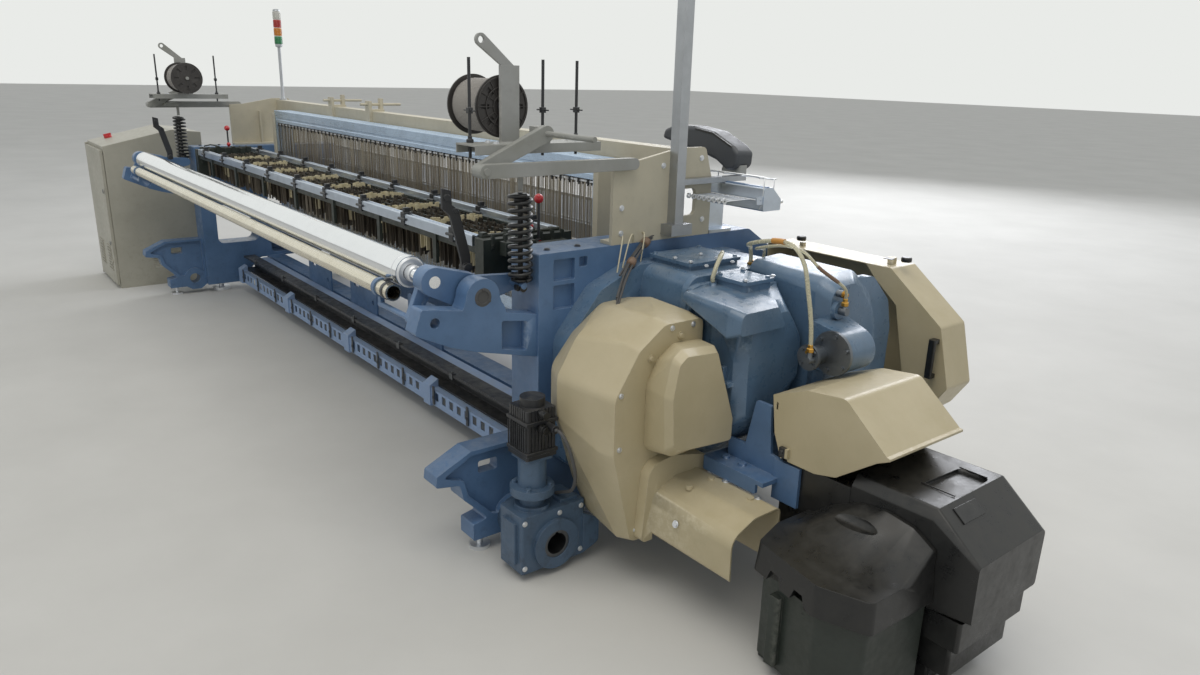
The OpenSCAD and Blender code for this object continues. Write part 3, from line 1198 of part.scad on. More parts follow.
side_frame_near();
side_frame_far();
cross_members();
harness_rail();
cable_ducts();
rear_brackets();
levelling_feet();
gear_housing_inner();
gear_housing_middle();
gear_housing_outer();
guard_handle();
oil_pump();
oil_tubes();
drive_cover();
drive_cover_bulge();
shaft_cover();
dobby_pedestal();
dobby_hood();
dobby_body();
dobby_lid();
dobby_case();
arch_beam();
arch_plates();
mast();
stack_light();
bobbin_stand_near();
bobbin_stand_far();
spool_near();
spool_far();
stop_motion_frame();
droppers();
stop_lever_near();
stop_lever_far();
weft_presenter();
presenter_fingers();
letoff_gearbox();
letoff_motor();
letoff_cable();
letoff_hub();
control_cabinet();
cabinet_door();
main_switch();
breast_beam();
take_up_roller();
press_roller();
cloth_roller();
sley();
reed();
backrest_arms();
backrest_roller();
deflector_tube();
tension_springs();
front_guard();
control_terminal();
heald_frame_1();
heald_frame_2();
heald_frame_3();
heald_frame_4();
heald_frame_5();
heald_frame_6();
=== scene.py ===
"""Wide rapier weaving loom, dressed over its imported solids.

All sizes are in millimetres in the loom's own frame: +X to the drive end, +Y to the
cloth side, +Z up, with the origin on the floor under the centre foot.
"""

import json
import logging
import math
from dataclasses import dataclass
from enum import Enum
from typing import Any, Iterable, Mapping, Sequence

import bmesh
import bpy
from mathutils import Matrix, Vector


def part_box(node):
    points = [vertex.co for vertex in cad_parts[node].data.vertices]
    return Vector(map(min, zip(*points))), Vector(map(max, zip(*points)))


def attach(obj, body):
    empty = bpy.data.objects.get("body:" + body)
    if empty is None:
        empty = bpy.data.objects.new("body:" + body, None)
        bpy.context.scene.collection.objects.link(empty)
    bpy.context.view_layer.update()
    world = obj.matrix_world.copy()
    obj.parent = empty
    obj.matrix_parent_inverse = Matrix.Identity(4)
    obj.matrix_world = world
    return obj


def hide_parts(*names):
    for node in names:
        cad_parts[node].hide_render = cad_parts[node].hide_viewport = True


LOG = logging.getLogger("loom")
MM = 0.001
WAVE_SCALE = 1000 / 6.283 * 3.1416  # scale of a wave texture that stands for threads 1 mm apart

Colour = tuple[float, float, float, float]
Point = Sequence[float]
Tree = bpy.types.NodeTree
Node = bpy.types.Node
Socket = bpy.types.NodeSocket
Object = bpy.types.Object

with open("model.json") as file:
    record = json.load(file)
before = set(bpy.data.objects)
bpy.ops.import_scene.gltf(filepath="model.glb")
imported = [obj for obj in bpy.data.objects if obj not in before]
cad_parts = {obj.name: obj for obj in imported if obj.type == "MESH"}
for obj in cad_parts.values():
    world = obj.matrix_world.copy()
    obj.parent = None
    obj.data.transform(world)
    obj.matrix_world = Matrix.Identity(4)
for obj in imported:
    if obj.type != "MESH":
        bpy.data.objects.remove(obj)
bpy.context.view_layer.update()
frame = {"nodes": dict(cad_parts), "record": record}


class Axis(Enum):
    """Direction that a prism or rod is drawn along."""

    X = 0
    Y = 1
    Z = 2


def linear(code: str) -> Colour:
    """Turn a colour written as sRGB hex into the linear colour that shaders use.

    Args:
        code: colour such as "#5d80b4".

    Returns:
        Red, green, blue and alpha.
    """
    parts = [int(code[i:i + 2], 16) / 255 for i in (1, 3, 5)]
    r, g, b = (c / 12.92 if c <= 0.04045 else ((c + 0.055) / 1.055) ** 2.4 for c in parts)
    return (r, g, b, 1.0)


def add_node(
    tree: Tree,
    kind: str,
    settings: Mapping[Any, Any] | None = None,
    links: Mapping[Any, Socket] | None = None,
) -> Node:
    """Add a node, fill in its values and join its inputs.

    Args:
        tree: tree of a material or of Geometry Nodes.
        kind: type of the node.
        settings: values by input name or number, or by property name.
        links: output sockets by input name or number.

    Returns:
        The new node.
    """
    node = tree.nodes.new(kind)
    plain = {k: v for k, v in (settings or {}).items() if isinstance(k, str) and hasattr(node, k)}
    for key, value in plain.items():
        setattr(node, key, value)
    for key, value in (settings or {}).items():
        if key not in plain:
            node.inputs[key].default_value = value
    for key, source in (links or {}).items():
        tree.links.new(source, node.inputs[key])
    return node


def feed(node: Node, **sources: Socket | float) -> None:
    """Set inputs of a node that is already there, by name with _ for a space, to sockets or values."""
    for label, source in sources.items():
        target = node.inputs[label.replace("_", " ")]
        if isinstance(source, float):
            target.default_value = source
        else:
            node.id_data.links.new(source, target)


def linked(name: str, data: bpy.types.ID) -> Object:
    """Make an object of a mesh, lamp or camera and put it in the scene."""
    made = bpy.data.objects.new(name, data)
    bpy.context.scene.collection.objects.link(made)
    return made


def patches(
    tree: Tree,
    coords: Socket,
    size_mm: float,
    low: float,
    high: float,
    span: tuple[float, float] = (0.0, 1.0),
    detail: float = 4.0,
    rough: float = 0.6,
) -> Socket:
    """Make a mask of chance patches, for where dirt, tarnish or gloss lies.

    Args:
        tree: tree of a material.
        coords: object coordinates in metres.
        size_mm: size of the patches.
        low: level of the noise at which the mask starts.
        high: level at which it is full.
        span: values of the mask at its start and when it is full.
        detail: number of finer layers.
        rough: strength of the finer layers.

    Returns:
        The mask.
    """
    chance = add_node(
        tree, "ShaderNodeTexNoise", {"Scale": 1000 / size_mm, "Detail": detail, "Roughness": rough}, {"Vector": coords}
    ).outputs[0]
    limits = {"From Min": low, "From Max": high, "To Min": span[0], "To Max": span[1]}
    return add_node(tree, "ShaderNodeMapRange", limits, {"Value": chance}).outputs[0]


def looking_up(tree: Tree, start: float, least: float) -> Socket:
    """Make a mask of the faces that look up, where lint and dust settle.

    Args:
        tree: tree of a material.
        start: height of the normal at which the mask starts to rise.
        least: value of the mask below that.

    Returns:
        The mask.
    """
    normal = add_node(tree, "ShaderNodeNewGeometry").outputs["Normal"]
    up = add_node(tree, "ShaderNodeSeparateXYZ", None, {0: normal}).outputs["Z"]
    limits = {"From Min": start, "From Max": 1.0, "To Min": least, "To Max": 1.0}
    return add_node(tree, "ShaderNodeMapRange", limits, {"Value": up}).outputs[0]


def grained(
    tree: Tree, coords: Socket, size: tuple[float, float, float], detail: float, strength: float
) -> tuple[Socket, Socket]:
    """Round the edges by eye and lay a fine grain over the surface.

    Args:
        tree: tree of a material.
        coords: object coordinates in metres.
        size: radius of the edges, size of the grain and its depth, in millimetres.
        detail: number of finer layers of the grain.
        strength: share of the grain that shows.

    Returns:
        The normal of the rounded surface, and the same with the grain.
    """
    edge, grain, depth = size
    rounded = add_node(tree, "ShaderNodeBevel", {"samples": 4, "Radius": edge * MM}).outputs[0]
    noise = {"Scale": 1000 / grain, "Detail": detail}
    skin = add_node(tree, "ShaderNodeTexNoise", noise, {"Vector": coords}).outputs[0]
    relief = {"Strength": strength, "Distance": depth * MM}
    return rounded, add_node(tree, "ShaderNodeBump", relief, {"Height": skin, "Normal": rounded}).outputs[0]


def stained(
    tree: Tree,
    base: Socket | Colour,
    tint: Colour,
    share: float,
    *masks: Socket,
) -> Socket:
    """Lay a tint over a colour where all its masks meet.

    Args:
        tree: tree of a material.
        base: colour below.
        tint: colour of the stain.
        share: how much of the tint shows at most.
        masks: values from 0 to 1.

    Returns:
        The stained colour.
    """
    amount = add_node(tree, "ShaderNodeMath", {"operation": "MULTIPLY", 1: share}, {0: masks[0]}).outputs[0]
    for mask in masks[1:]:
        amount = add_node(tree, "ShaderNodeMath", {"operation": "MULTIPLY"}, {0: amount, 1: mask}).outputs[0]
    mixed = add_node(tree, "ShaderNodeMix", {"data_type": "RGBA", 7: tint}, {0: amount})
    if isinstance(base, tuple):
        mixed.inputs[6].default_value = base
    else:
        tree.links.new(base, mixed.inputs[6])
    return mixed.outputs[2]


@dataclass(frozen=True)
class Finish:
    """Base of every finish: a named material that is made once.

    Attributes:
        name: name of the material, for what the real one is.
        colour: main colour in sRGB hex.
        roughness: mean roughness of the surface.
        slot: material slot of the record for pieces that are added in this finish.
    """

    name: str
    colour: str
    roughness: float
    slot: str = "bright_steel"

    def material(self) -> bpy.types.Material:
        """Return the material, made on first use."""
        found = bpy.data.materials.get(self.name)
        if found is not None:
            return found
        made = bpy.data.materials.new(self.name)
        made.use_nodes = True
        made.diffuse_color = linear(self.colour)
        shader = made.node_tree.nodes["Principled BSDF"]
        coords = add_node(made.node_tree, "ShaderNodeTexCoord").outputs["Object"]
        self.paint(made.node_tree, shader, coords)
        return made

    def paint(self, tree: Tree, shader: Node, coords: Socket) -> None:
        """Join the pattern of the finish to the shader."""
        raise NotImplementedError


@dataclass(frozen=True)
class Enamel(Finish):
    """Enamel or powder paint over cast or sheet metal, dusted and stained by oil in use.

    Attributes:
        shade: tone of the older or oilier patches.
        patch_mm: size of those patches.
        grain_mm: size of the orange peel or of the cast skin below the paint.
        grain_depth_mm: depth of that grain.
        dirt: colour of settled lint and oil.
        dirt_share: how much of the surface it marks, from 0 to 1.
        dust: colour of the lint on faces that look up.
        dust_share: how much of it lies there, from 0 to 1.
        edge: colour where edges are rubbed, a lighter tint of the paint: partly wear, partly painted highlight on the
            rounded edges.
        edge_mm: radius that edges are rounded to by eye.
        coat: clear gloss of the paint film.
    """

    slot: str = "blue_paint"
    shade: str = "#4a6688"
    patch_mm: float = 320.0
    grain_mm: float = 5.0
    grain_depth_mm: float = 0.25
    dirt: str = "#2c2b28"
    dirt_share: float = 0.35
    dust: str = "#b9b7ae"
    dust_share: float = 0.25
    edge: str = "#9fb0c6"
    edge_mm: float = 3.0
    coat: float = 0.15

    def paint(self, tree: Tree, shader: Node, coords: Socket) -> None:
        """Join the pattern of the finish to the shader."""
        oily = patches(tree, coords, self.patch_mm, 0.32, 0.68)
        colour = stained(tree, linear(self.colour), linear(self.shade), 1.0, oily)
        lint = patches(tree, coords, 70, 0.42, 0.75, detail=5.0, rough=0.75)
        colour = stained(tree, colour, linear(self.dust), self.dust_share, looking_up(tree, 0.35, 0.0), lint)
        height = add_node(tree, "ShaderNodeSeparateXYZ", None, {0: coords}).outputs["Z"]
        near_floor = {"From Min": 0.55, "From Max": 0.0, "To Min": 0.35, "To Max": 1.0}
        low = add_node(tree, "ShaderNodeMapRange", near_floor, {"Value": height}).outputs[0]
        spots = patches(tree, coords, 46, 0.52, 0.72, detail=7.0, rough=0.72)
        colour = stained(tree, colour, linear(self.dirt), self.dirt_share, spots, low)
        rounded, bumpy = grained(tree, coords, (self.edge_mm, self.grain_mm, self.grain_depth_mm), 3.0, 0.5)
        # Lighter tint along rounded edges in chance spots: partly wear, partly painted highlight
        both = {0: rounded, 1: add_node(tree, "ShaderNodeNewGeometry").outputs["True Normal"]}
        facing = add_node(tree, "ShaderNodeVectorMath", {"operation": "DOT_PRODUCT"}, both).outputs["Value"]
        wear_and_highlight_band = {"From Min": 0.985, "From Max": 0.86}
        worn_and_highlit_edges = add_node(tree, "ShaderNodeMapRange", wear_and_highlight_band, {"Value": facing}).outputs[0]
        chip_and_glint_spots = patches(tree, coords, 25, 0.42, 0.6, detail=6.0, rough=0.7)
        colour = stained(tree, colour, linear(self.edge), 0.55, worn_and_highlit_edges, chip_and_glint_spots)
        gloss = patches(tree, coords, 30, 0.3, 0.7, (self.roughness - 0.1, self.roughness + 0.14), rough=0.55)
        feed(shader, Base_Color=colour, Roughness=gloss, Normal=bumpy)
        feed(shader, Coat_Weight=self.coat, Coat_Roughness=0.25)


@dataclass(frozen=True)
class Metal(Finish):
    """Bare metal with the marks of its making along one axis, and a light tarnish.

    Attributes:
        shade: tone of the tarnish.
        lines: axis that the brush or turning marks run along.
        line_mm: spacing of those marks.
        line_depth_mm: depth of those marks.
        tarnish: share of the surface that the tarnish marks.
    """

    shade: str = "#7d7f80"
    lines: Axis = Axis.X
    line_mm: float = 1.2
    line_depth_mm: float = 0.03
    tarnish: float = 0.4

    def paint(self, tree: Tree, shader: Node, coords: Socket) -> None:
        """Join the pattern of the finish to the shader."""
        along = [1.0, 1.0, 1.0]
        along[self.lines.value] = 0.02
        stretched = add_node(tree, "ShaderNodeMapping", {"Scale": along}, {"Vector": coords}).outputs[0]
        lines = {"Scale": 1000 / self.line_mm, "Detail": 2.0}
        marks = add_node(tree, "ShaderNodeTexNoise", lines, {"Vector": stretched}).outputs[0]
        stains = patches(tree, coords, 90, 0.45, 0.75, detail=6.0, rough=0.65)
        colour = stained(tree, linear(self.colour), linear(self.shade), self.tarnish, stains)
        span = {"To Min": max(self.roughness - 0.06, 0.03), "To Max": self.roughness + 0.08}
        rough = add_node(tree, "ShaderNodeMapRange", {"From Min": 0.3, "From Max": 0.7, **span}, {"Value": marks})
        relief = {"Strength": 0.4, "Distance": self.line_depth_mm * MM}
        bump = add_node(tree, "ShaderNodeBump", relief, {"Height": marks})
        feed(shader, Base_Color=colour, Roughness=rough.outputs[0], Normal=bump.outputs[0], Metallic=1.0)


@dataclass(frozen=True)
class Moulded(Finish):
    """Moulded plastic or rubber with a fine eroded grain and settled dust.

    Attributes:
        dust: colour of the lint and dust on it.
        dust_share: how much of it lies on faces that look up.
        grain_mm: size of the grain.
        grain_depth_mm: depth of the grain.
        edge_mm: radius that edges are rounded to by eye.
        clear: share of light that passes through.
        ior: refractive index of the plastic.
    """

    slot: str = "black_plastic"
    dust: str = "#8f8c84"
    dust_share: float = 0.2
    grain_mm: float = 1.6
    grain_depth_mm: float = 0.08
    edge_mm: float = 2.5
    clear: float = 0.0
    ior: float = 1.5

    def paint(self, tree: Tree, shader: Node, coords: Socket) -> None:
        """Join the pattern of the finish to the shader."""
        lint = patches(tree, coords, 55, 0.35, 0.8, detail=6.0, rough=0.72)
        lying = looking_up(tree, -0.2, 0.15)
        colour = stained(tree, linear(self.colour), linear(self.dust), self.dust_share, lying, lint)
        span = {"To Min": self.roughness - 0.08, "To Max": self.roughness + 0.2}
        rough = add_node(tree, "ShaderNodeMapRange", {"From Min": 0.0, "From Max": 1.0, **span}, {"Value": lint})
        bumpy = grained(tree, coords, (self.edge_mm, self.grain_mm, self.grain_depth_mm), 2.0, 0.45)[1]
        feed(shader, Base_Color=colour, Roughness=rough.outputs[0], Normal=bumpy)
        feed(shader, Transmission_Weight=self.clear, IOR=self.ior)


@dataclass(frozen=True)
class Yarn(Finish):
    """Thread or cable wound side by side round an axis along X, with the fuzz of its fibres.

    Attributes:
        shade: painted shade in the grooves between the threads.
        pitch_mm: spacing of the turns, drawn coarse enough to show.
    """

    shade: str = "#151517"
    pitch_mm: float = 3.0

    def paint(self, tree: Tree, shader: Node, coords: Socket) -> None:
        """Join the pattern of the finish to the shader."""
        turns = {"bands_direction": "X", "Scale": WAVE_SCALE / self.pitch_mm, "Distortion": 1.2, "Detail": 2.0}
        wave = add_node(tree, "ShaderNodeTexWave", turns, {"Vector": coords}).outputs["Fac"]
        # Thread colour on the ridges of the turns, painted shade in the grooves between them
        colour = stained(tree, linear(self.shade), linear(self.colour), 1.0, wave)
        bump = add_node(tree, "ShaderNodeBump", {"Strength": 0.8, "Distance": 0.8 * MM}, {"Height": wave})
        feed(shader, Base_Color=colour, Normal=bump.outputs[0], Roughness=self.roughness, Sheen_Weight=0.3)


@dataclass(frozen=True)
class WireBank(Finish):
    """Close bank of upright wires or strips, each a little lighter or darker than the next.

    Attributes:
        shade: tone of the darkest of them.
        pitch_mm: width of the stripes, a few wires together so that they show.
        metallic: 1 for bare steel, 0 for plastic.
    """

    shade: str = "#3a342d"
    pitch_mm: float = 16.0
    metallic: float = 1.0

    def paint(self, tree: Tree, shader: Node, coords: Socket) -> None:
        """Join the pattern of the finish to the shader."""
        upright = add_node(tree, "ShaderNodeMapping", {"Scale": (1.0, 1.0, 0.03)}, {"Vector": coords}).outputs[0]
        stripes = patches(tree, upright, self.pitch_mm, 0.36, 0.64, detail=3.0)
        drift = patches(tree, upright, 340, 0.35, 0.7)
        colour = stained(tree, linear(self.colour), linear(self.shade), 0.85, stripes)
        colour = stained(tree, colour, linear(self.shade), 0.5, drift)
        feed(shader, Base_Color=colour, Metallic=self.metallic, Roughness=self.roughness)


# Each enamel's edge colour is a lighter tint of its paint: partly wear, partly painted highlight on the rounded edges
# Machine enamel on iron castings: a mid blue, chalky where it is old and darkened by oil
BLUE_ENAMEL = Enamel("blue_enamel_on_casting", "#5d7ca2", 0.4, shade="#4a6789", coat=0.25)
# The same paint on the oily gear housings, greyer and glossier
HOUSING_ENAMEL = Enamel(
    "oiled_enamel_on_gear_casting", "#5f7b97", 0.32, "blue_grey_paint", shade="#4c647b", dirt_share=0.5, coat=0.35,
    edge="#8ea3b8"
)
# The paint of the worm gearbox, dulled by oil and dust near the floor
GEARBOX_ENAMEL = Enamel(
    "dirty_enamel_on_gearbox", "#4d647c", 0.42, "blue_grey_paint", shade="#3d5065", dirt="#22231f", dirt_share=0.6,
    coat=0.15, dust="#77756c", dust_share=0.3, edge="#7d8fa3"
)
# Powder coat on folded sheet: satin beige with a fine orange peel
BEIGE_COAT = Enamel(
    "beige_powder_coat_on_sheet", "#c0b495", 0.38, "beige_paint", shade="#b3a786", grain_mm=3.0, grain_depth_mm=0.08,
    dirt="#6b6149", dirt_share=0.12, dust="#cdc4a9", edge="#d3c9ac"
)
# Grey-beige paint on the box beam and its plates
ARCH_PAINT = Enamel(
    "beige_grey_enamel_on_beam", "#c3bca6", 0.45, "beige_paint", shade="#b3ad9a", grain_mm=3.5, grain_depth_mm=0.08,
    dirt="#5d574a", dirt_share=0.3, dust="#d8d3c2", edge="#d8d3c4"
)
# Powder coat of the cabinet: flat grey with a fine grain, marked by hands and lint
CABINET_PAINT = Enamel(
    "grey_powder_coat_on_sheet", "#aeab9d", 0.5, "cabinet_paint", shade="#a19e90", grain_mm=2.0, grain_depth_mm=0.1,
    dirt="#57544a", dirt_share=0.25, dust="#c6c3b6", edge="#c8c5b8"
)
# Grey enamel on small brackets, dull with lint
LINT_ENAMEL = Enamel(
    "grey_enamel_on_bracket", "#9c9d9b", 0.48, "black_plastic", shade="#86877f", grain_mm=3.0, dirt="#4d4b45",
    edge="#bdbdb7"
)
# Black lacquer on springs and channels: satin, with lint on it
BLACK_LACQUER = Enamel(
    "black_lacquer_on_steel", "#26282c", 0.38, "black_metal", shade="#1b1c1f", grain_mm=4.0, dirt="#4d4a43",
    dirt_share=0.25, dust="#8a867c", dust_share=0.35, edge="#6b6d70"
)
# Black paint of the tension springs, close to new
SPRING_PAINT = Enamel(
    "black_paint_on_spring_wire", "#18191b", 0.34, "black_metal", shade="#101113", grain_mm=4.0, dirt="#33312d",
    dirt_share=0.12, dust="#5c5952", dust_share=0.12, edge="#3c3e41"
)
# Dark green-black paint on rough castings, its grain coarse enough to catch the light
DARK_CASTING = Enamel(
    "dark_painted_iron", "#2c332f", 0.5, "dark_casting", shade="#20261f", grain_mm=6.0, grain_depth_mm=0.4,
    dirt="#171714", dust="#77756c", edge="#66685f"
)
# Grained ABS of the dobby's hoods, dusty on top
BLACK_ABS = Moulded("black_grained_abs", "#161718", 0.33, dust="#5f5b52", dust_share=0.24, ior=1.53)
# Polished ABS of the bare plate, a clear shine beside the grain
BLACK_GLOSS = Moulded("black_gloss_abs", "#17181a", 0.2, dust_share=0.12, ior=1.53)
# Grey ABS of the terminal and clips, matt under dust
GREY_PLASTIC = Moulded("dark_grey_abs", "#3a3e44", 0.45, dust_share=0.25, ior=1.53)
# Rubber of cables and pads, without shine
BLACK_RUBBER = Moulded("black_rubber", "#141415", 0.6, "black_rubber", dust_share=0.25, ior=1.52)
# Slotted cable ducts: pale blue, greyed by a coat of lint
DUCT_PVC = Moulded("light_blue_pvc", "#8aa3c6", 0.45, "duct_plastic", dust="#a9a79d", dust_share=0.5, ior=1.54)
# Sleeves of thin leads, yellowed and soft in shine
CREAM_PVC = Moulded("cream_pvc", "#cfc7ab", 0.5, "clear_plastic", dust_share=0.4, ior=1.54)
# Oil tubes: milky, light passes through their walls
TUBE_NYLON = Moulded("clear_nylon_tube", "#d6d1b4", 0.25, "clear_plastic", dust_share=0.1, clear=0.35, ior=1.53)
# Knobs: bright red, hard and smooth
RED_KNOB = Moulded("red_phenolic", "#c0242b", 0.25, "red_plastic", dust_share=0.12, grain_depth_mm=0.02, ior=1.6)
# Spools: brown-black, worn to a satin
SPOOL_PLASTIC = Moulded("dark_spool_abs", "#2f2c2b", 0.42, "spool_plastic", dust_share=0.3, ior=1.53)
# Tape wound round cables and a tube, dull and fibrous
BROWN_SLEEVE = Moulded("brown_wrapping_tape", "#7b6350", 0.6, "spool_plastic", dust_share=0.4, ior=1.52)
# Joint of the oil tube, a warm spot among the housings
ORANGE_JOINT = Moulded("orange_nylon_sleeve", "#c48a3a", 0.4, "lamp_plastic", dust_share=0.15, ior=1.53)
# Emery strip round the take-up roller: rough and without shine
ROLLER_COVER = Moulded(
    "emery_roller_cover", "#7c6a5c", 0.8, "roller_cover", grain_mm=2.5, grain_depth_mm=0.5, ior=1.5
)
# Lamp lenses: ribbed acrylic, tinted through and cloudy with dust
GREEN_LENS, AMBER_LENS, RED_LENS, WHITE_LENS = (
    Moulded(f"{tint}_acrylic", code, 0.2, "lamp_plastic", dust_share=0.15, clear=0.3, ior=1.49)
    for tint, code in (("green", "#2f8f5a"), ("amber", "#d98a2b"), ("red", "#b8322c"), ("white", "#d9d8d0"))
)
# Ground and hard-chromed roller
CHROME = Metal(
    "hard_chrome_on_steel", "#f3f5f7", 0.13, "chrome_steel", shade="#d3d6d8", line_mm=1.5, line_depth_mm=0.001,
    tarnish=0.15
)
# Drawn tube, bright where it rolls and yellowed by old oil
TUBE_STEEL = Metal(
    "drawn_steel_tube", "#e2dccb", 0.26, "beige_paint", shade="#b9ae92", line_mm=1.5, line_depth_mm=0.004,
    tarnish=0.35
)
# Zinc-plated screws, rods and rings: light, with a grey film
STEEL = Metal("bright_steel", "#b4b8bd", 0.34, shade="#7d7a74", tarnish=0.45)
# Unplated steel, brown-grey under oil
DARK_STEEL = Metal("oiled_steel", "#6d6f72", 0.4, shade="#3e3c39", tarnish=0.6)
# Iron of the pump, turned and left bare
CAST_GREY = Metal("grey_iron_machined", "#7c8187", 0.45, "blue_grey_paint", shade="#54565a", line_mm=2.2, tarnish=0.5)
# Tube unions, warm and worn at their corners
BRASS = Metal("turned_brass", "#c79a4e", 0.3, shade="#8a6a34", line_mm=0.8, tarnish=0.5)
# Extrusions, pale and drawn along the loom
ALUMINIUM = Metal("extruded_aluminium", "#cdd6e2", 0.34, "aluminium_rail", shade="#9fa8b2", line_mm=1.6, tarnish=0.35)
# The same aluminium on the heald rails, its colour tinted light blue as a painted reflection of the windows
HEALD_RAIL = Metal("anodised_heald_rail", "#c3d6ec", 0.3, "aluminium_rail", shade="#93a3b6", line_mm=1.6, tarnish=0.4)
# Upright extrusions, greyer, with their drawing marks along Z
ALUMINIUM_UPRIGHT = Metal(
    "extruded_aluminium_upright", "#b2b5b9", 0.4, "lamp_plastic", shade="#8f9295", lines=Axis.Z, tarnish=0.4
)
# Flat steel healds: brownish grey from lint and oil, streaked from wire to wire
HEALD_STEEL = WireBank("flat_steel_healds", "#cbc2b0", 0.42, shade="#6d6252")
# Drop wires: thin oiled steel strips, their dark stripes painted shade where they hang close
DROP_STEEL = WireBank("steel_drop_wires", "#a39a8d", 0.45, shade="#3a342f", pitch_mm=22.0)
# Groups of drop wires with cream separators between them
CREAM_STRIP = WireBank(
    "cream_separator_strips", "#e0d6b4", 0.5, "lamp_plastic", shade="#b5aa88", pitch_mm=30.0, metallic=0.0
)
# Grey edge yarn on its spools, turn beside turn, with painted shade in the grooves between the turns
EDGE_YARN = Yarn("wound_edge_yarn", "#a9a39a", 0.8, "spool_plastic", shade="#4b4743", pitch_mm=5.0)


def settle(piece: Object, body: str, slot: str, *nodes: str) -> None:
    """Make a finished piece ride on its body and hide the nodes that it stands for.

    Args:
        piece: object with its place in its mesh.
        body: body that it moves with.
        slot: material slot of the record that it takes its finish from; not used.
        nodes: nodes of the frame that it replaces.
    """
    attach(piece, body)
    if nodes:
        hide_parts(*nodes)
    LOG.info("%s on %s: %d faces", piece.name, body, len(piece.data.polygons))


def corners(node: str) -> tuple[Vector, Vector]:
    """Return the lowest and highest corner of a node at rest, in millimetres."""
    low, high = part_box(node)
    return Vector(low) * 1000, Vector(high) * 1000


def centre(node: str) -> tuple[float, float, float]:
    """Return the middle of a node's box at rest, in millimetres."""
    low, high = corners(node)
    return (low.x + high.x) / 2, (low.y + high.y) / 2, (low.z + high.z) / 2


def smooth_route(points: Sequence[Point], steps: int = 5) -> list[Vector]:
    """Run a smooth line through given points.

    Args:
        points: places that the line passes, in millimetres.
        steps: number of short stretches between two of them.

    Returns:
        The points of the line.
    """
    p = [Vector(q) for q in points]
    line = []
    for i in range(len(p) - 1):
        a, b, c, d = p[max(i - 1, 0)], p[i], p[i + 1], p[min(i + 2, len(p) - 1)]
        for k in range(steps):
            t = k / steps
            bend, twist = 2 * a - 5 * b + 4 * c - d, 3 * b - a - 3 * c + d
            line.append(0.5 * (2 * b + (c - a) * t + bend * t * t + twist * t ** 3))
    line.append(p[-1])
    return line


def joined(name: str, parts: Sequence[Object]) -> Object:
    """Join meshes at the origin into one object.

    Args:
        name: name of the new piece.
        parts: objects of one finish; they are used up.

    Returns:
        The joined piece.
    """
    bag = bmesh.new()
    for part in parts:
        bag.from_mesh(part.data)
    mesh = bpy.data.meshes.new(name)
    bag.to_mesh(mesh)
    bag.free()
    mesh.materials.append(parts[0].data.materials[0])
    for part in parts:
        bpy.data.objects.remove(part)
    return linked(name, mesh)


